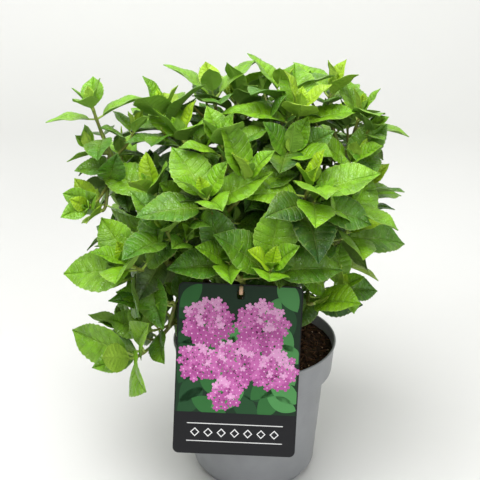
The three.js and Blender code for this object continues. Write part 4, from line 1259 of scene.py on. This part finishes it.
class HYDRANGEA_OT_card(bpy.types.Operator):
    """Makes the hanging card with a generic printed design: round pink flower heads over
    leaves, and a plain band of ornament"""

    bl_idname = "hydrangea.card"
    bl_label = "Make the card"

    def execute(self, context):
        settings = context.scene.hydrangea_card
        half = CARD["thickness"] / 2
        wide, high = CARD["width"] / 2, CARD["height"] / 2
        corner = CARD["corner"]
        outline = rounded_rectangle(-wide, -high, wide, high, [corner] * 4)
        points, faces = plate_with_slot(outline, -half, half)
        # Coated card: a smooth, fairly glossy printed film over stiff board.
        ground = plain_material("coated_card", tuple(settings.ground), 0.4, 0.35)[0]
        make_piece("card_plate", points, faces, ground, sharp=30, replaced=["plant_card"])

        picture_foot = -high + 52
        inks = {
            name: plain_material("print_" + name, colour, 0.4, 0.35)[0]
            for name, colour in {
                "dark_green": linear("#12301A"),
                "shade_green": linear("#1F4B28"),
                "leaf_green": linear("#2F6B33"),
                "light_green": linear("#4F9150"),
                "pink": tuple(settings.blossom),
                "pale_pink": linear("#E9A3D6"),
                "deep_pink": linear("#B8559F"),
                "white": linear("#E8E8E8"),
                "blossom_heart": linear("#F3CBE8"),
            }.items()
        }
        edge = 1.5
        picture_corners = [0.5, 5.5, 5.5, 0.5]
        picture = rounded_rectangle(-wide + edge, picture_foot, wide - edge, high - edge, picture_corners)
        points, faces = plate_with_slot(picture, half, half + PRINT)
        make_piece("card_picture", points, faces, inks["dark_green"], sharp=30)
        self.print_leaves(inks, half + PRINT, picture_foot)
        self.print_blossoms(inks, half + 2.5 * PRINT, settings.blossoms)
        self.print_band(inks, half, -high)
        return {"FINISHED"}

    def print_leaves(self, inks, low, picture_foot):
        """Broad leaves all over the picture, in rows, in three greens."""
        draw = np.random.default_rng(21)
        wide, top = CARD["width"] / 2 - 1.5, CARD["height"] / 2 - 1.5
        x, y = np.meshgrid(np.linspace(-58, 58, 6), np.linspace(picture_foot + 12, top - 12, 7))
        middles = np.stack([x.ravel(), y.ravel()], -1) + draw.uniform(-5, 5, (x.size, 2))
        middles = middles[np.hypot(middles[:, 0], middles[:, 1] - 92) > 33]
        count = len(middles)
        lengths = draw.uniform(38, 50, count)
        bearings = draw.uniform(20, 70, count) + 90 * (np.arange(count) % 2)
        shapes = printed_leaves(middles, bearings, lengths, lengths * 0.5)
        shapes = np.clip(shapes, [-wide, picture_foot], [wide, top])
        for number, ink in enumerate(("shade_green", "leaf_green", "light_green")):
            own = slice(number, None, 3)
            points, faces = prints(shapes[own], middles[own], low, low + PRINT * (1 + 0.5 * number))
            make_piece("card_" + ink, points, faces, inks[ink], sharp=30)

    def print_blossoms(self, inks, low, count):
        """Six round heads of several sizes. The blossoms of a head lie on a spiral: the i-th at
        the reach R * sqrt(i / count) and the angle i * 137.5 degrees, in five layers by turns.
        Those on a head's upper side are paler, those on its lower side deeper."""
        heads = ((-37, 58, 29), (27, 55, 31), (-48, 8, 23), (44, 3, 26), (-3, 8, 30), (-14, -30, 19))
        draw = np.random.default_rng(5)
        rows = []
        for number, (x, y, reach) in enumerate(heads):
            own = int(count * (reach / 30) ** 2)
            i = np.arange(own)
            out = reach * np.sqrt((i + 0.5) / own)
            angle = i * np.radians(137.5) + number
            middle = np.stack([x + out * np.cos(angle), y + out * np.sin(angle)], -1)
            layer = i % 5 + 5 * (number % 2)
            light = (middle[:, 1] - y) / reach + draw.normal(0, 0.45, own)
            tone = np.where(light > 0.45, 1, np.where(light < -0.45, 2, 0))
            blossom_sizes, blossom_turns = draw.uniform(4.6, 6.2, own), draw.uniform(0, 6, own)
            rows.append(np.column_stack([middle, layer, blossom_sizes, blossom_turns, tone]))
        rows = np.concatenate(rows)
        for number, ink in enumerate(("pink", "pale_pink", "deep_pink")):
            own = rows[rows[:, 5] == number]
            level = low + PRINT * (1 + own[:, 2] * 0.5)
            shapes = printed_blossoms(own[:, :2], own[:, 3], own[:, 4])
            points, faces = prints(shapes, own[:, :2], low, level)
            make_piece("card_" + ink, points, faces, inks[ink], sharp=30)
        level = low + PRINT * (1.3 + rows[:, 2] * 0.5)
        hearts = printed_blossoms(rows[:, :2], rows[:, 3] * 0.17, rows[:, 4])
        points, faces = prints(hearts, rows[:, :2], low, level)
        make_piece("card_blossom_hearts", points, faces, inks["blossom_heart"], sharp=30)

    def print_band(self, inks, low, card_foot):
        """The plain band: a row of open lozenges between two rules."""
        count = 7
        x = (np.arange(count) - (count - 1) / 2) * 16
        middles = np.stack([x, np.full(count, card_foot + 27)], -1)
        square = np.array([(5.6, 0), (0, 5.6), (-5.6, 0), (0, -5.6)])
        white = prints(middles[:, None] + square, middles, low, low + PRINT)
        dark = prints(middles[:, None] + square * 0.7, middles, low, low + 2 * PRINT)
        rules = []
        for height in (card_foot + 38, card_foot + 16):
            box = rounded_rectangle(-58, height - 0.5, 58, height + 0.5, [0.4] * 4, 3)
            rules.append(prints(box[None], np.array([[0, height]]), low, low + PRINT))
        points, faces = joined([white, *rules])
        make_piece("card_band_ornament", points, faces, inks["white"], sharp=30)
        band = plain_material("print_band_ground", linear("#17171B"), 0.4, 0.35)[0]
        make_piece("card_band_lozenges", dark[0], dark[1], band, sharp=30)


# Stage


class HYDRANGEA_OT_stage(bpy.types.Operator):
    """Makes the floor with its backdrop, the soft lights and the camera"""

    bl_idname = "hydrangea.stage"
    bl_label = "Make the stage"

    def execute(self, context):
        settings = context.scene.hydrangea_stage
        scene = context.scene
        self.sweep(settings)
        self.soft_light("overhead_light", (-0.25, -0.45, 1.75), (0, 0, 0.3), 1.3, settings.key)
        self.soft_light("front_light", (0.75, -1.7, 1.15), (0, 0, 0.3), 0.9, settings.key * 0.28)
        world = bpy.data.worlds.new("pale_room")
        scene.world = world
        world.use_nodes = True
        background = world.node_tree.nodes["Background"]
        background.inputs["Color"].default_value = linear("#F4F6FA")
        background.inputs["Strength"].default_value = 0.31
        camera = bpy.data.objects.new("camera", bpy.data.cameras.new("camera"))
        scene.collection.objects.link(camera)
        camera.data.sensor_width = 36
        camera.data.lens = settings.lens
        camera.location = (-0.0188, -1.144, 0.808)
        camera.rotation_euler = (math.pi / 2 - settings.down, 0, 0)
        scene.camera = camera
        scene.view_settings.view_transform = "Standard"
        return {"FINISHED"}

    def sweep(self, settings):
        """A floor that curves up into a backdrop: a profile across, carried from side to side."""
        bend = np.radians(np.linspace(0, 90, 24))
        radius, start = 260.0, 420.0
        curve = np.stack([start + radius * np.sin(bend), radius * (1 - np.cos(bend))], -1)
        profile = np.concatenate([[[-4000, 0]], curve, [[start + radius, 3200]]])
        sides = np.array([-3500.0, 3500.0])
        points = np.stack(np.broadcast_arrays(sides[None, :], profile[:, :1], profile[:, 1:]), -1)
        faces = grid_faces(len(profile), 2, wrap_columns=False)
        material = plain_material("pale_matt_floor", tuple(settings.floor), 0.7, 0.2)[0]
        floor = make_piece("floor", points.reshape(-1, 3), [faces], material)

    def soft_light(self, name, location, target, size, power):
        """A square area light that looks at a target."""
        light = bpy.data.lights.new(name, "AREA")
        light.size = size
        light.energy = power
        lamp = bpy.data.objects.new(name, light)
        bpy.context.scene.collection.objects.link(lamp)
        lamp.location = location
        way = Vector(target) - Vector(location)
        lamp.rotation_euler = way.to_track_quat("-Z", "Y").to_euler()


class HYDRANGEA_PT_panel(bpy.types.Panel):
    """Sizes, colours and the operators of the potted hydrangea"""

    bl_label = "Hydrangea"
    bl_idname = "HYDRANGEA_PT_panel"
    bl_space_type = "VIEW_3D"
    bl_region_type = "UI"
    bl_category = "Hydrangea"

    def draw(self, context):
        for name, (settings, _) in SETTINGS.items():
            group = getattr(context.scene, name)
            for field in settings.__annotations__:
                self.layout.prop(group, field)
        for operator in OPERATORS:
            self.layout.operator(operator.bl_idname)


SETTINGS = {
    "hydrangea_pot": (PotSettings, "Pot"),
    "hydrangea_shrub": (ShrubSettings, "Shrub"),
    "hydrangea_card": (CardSettings, "Card"),
    "hydrangea_stage": (StageSettings, "Stage"),
}
OPERATORS = (
    HYDRANGEA_OT_stage,
    HYDRANGEA_OT_pot,
    HYDRANGEA_OT_soil,
    HYDRANGEA_OT_wood,
    HYDRANGEA_OT_twigs,
    HYDRANGEA_OT_leaves,
    HYDRANGEA_OT_card,
)


def register():
    """Registers the settings, the operators and the panel."""
    for name, (settings, label) in SETTINGS.items():
        bpy.utils.register_class(settings)
        setattr(bpy.types.Scene, name, PointerProperty(type=settings, name=label))
    for operator in OPERATORS:
        bpy.utils.register_class(operator)
    bpy.utils.register_class(HYDRANGEA_PT_panel)


def unregister():
    """Takes them out again, in the other order."""
    bpy.utils.unregister_class(HYDRANGEA_PT_panel)
    for operator in reversed(OPERATORS):
        bpy.utils.unregister_class(operator)
    for name, (settings, _) in SETTINGS.items():
        delattr(bpy.types.Scene, name)
        bpy.utils.unregister_class(settings)


def main():
    """Makes the stage and every piece in order."""
    register()
    for operator in OPERATORS:
        group, name = operator.bl_idname.split(".")
        getattr(getattr(bpy.ops, group), name)()


if __name__ == "__main__":
    main()
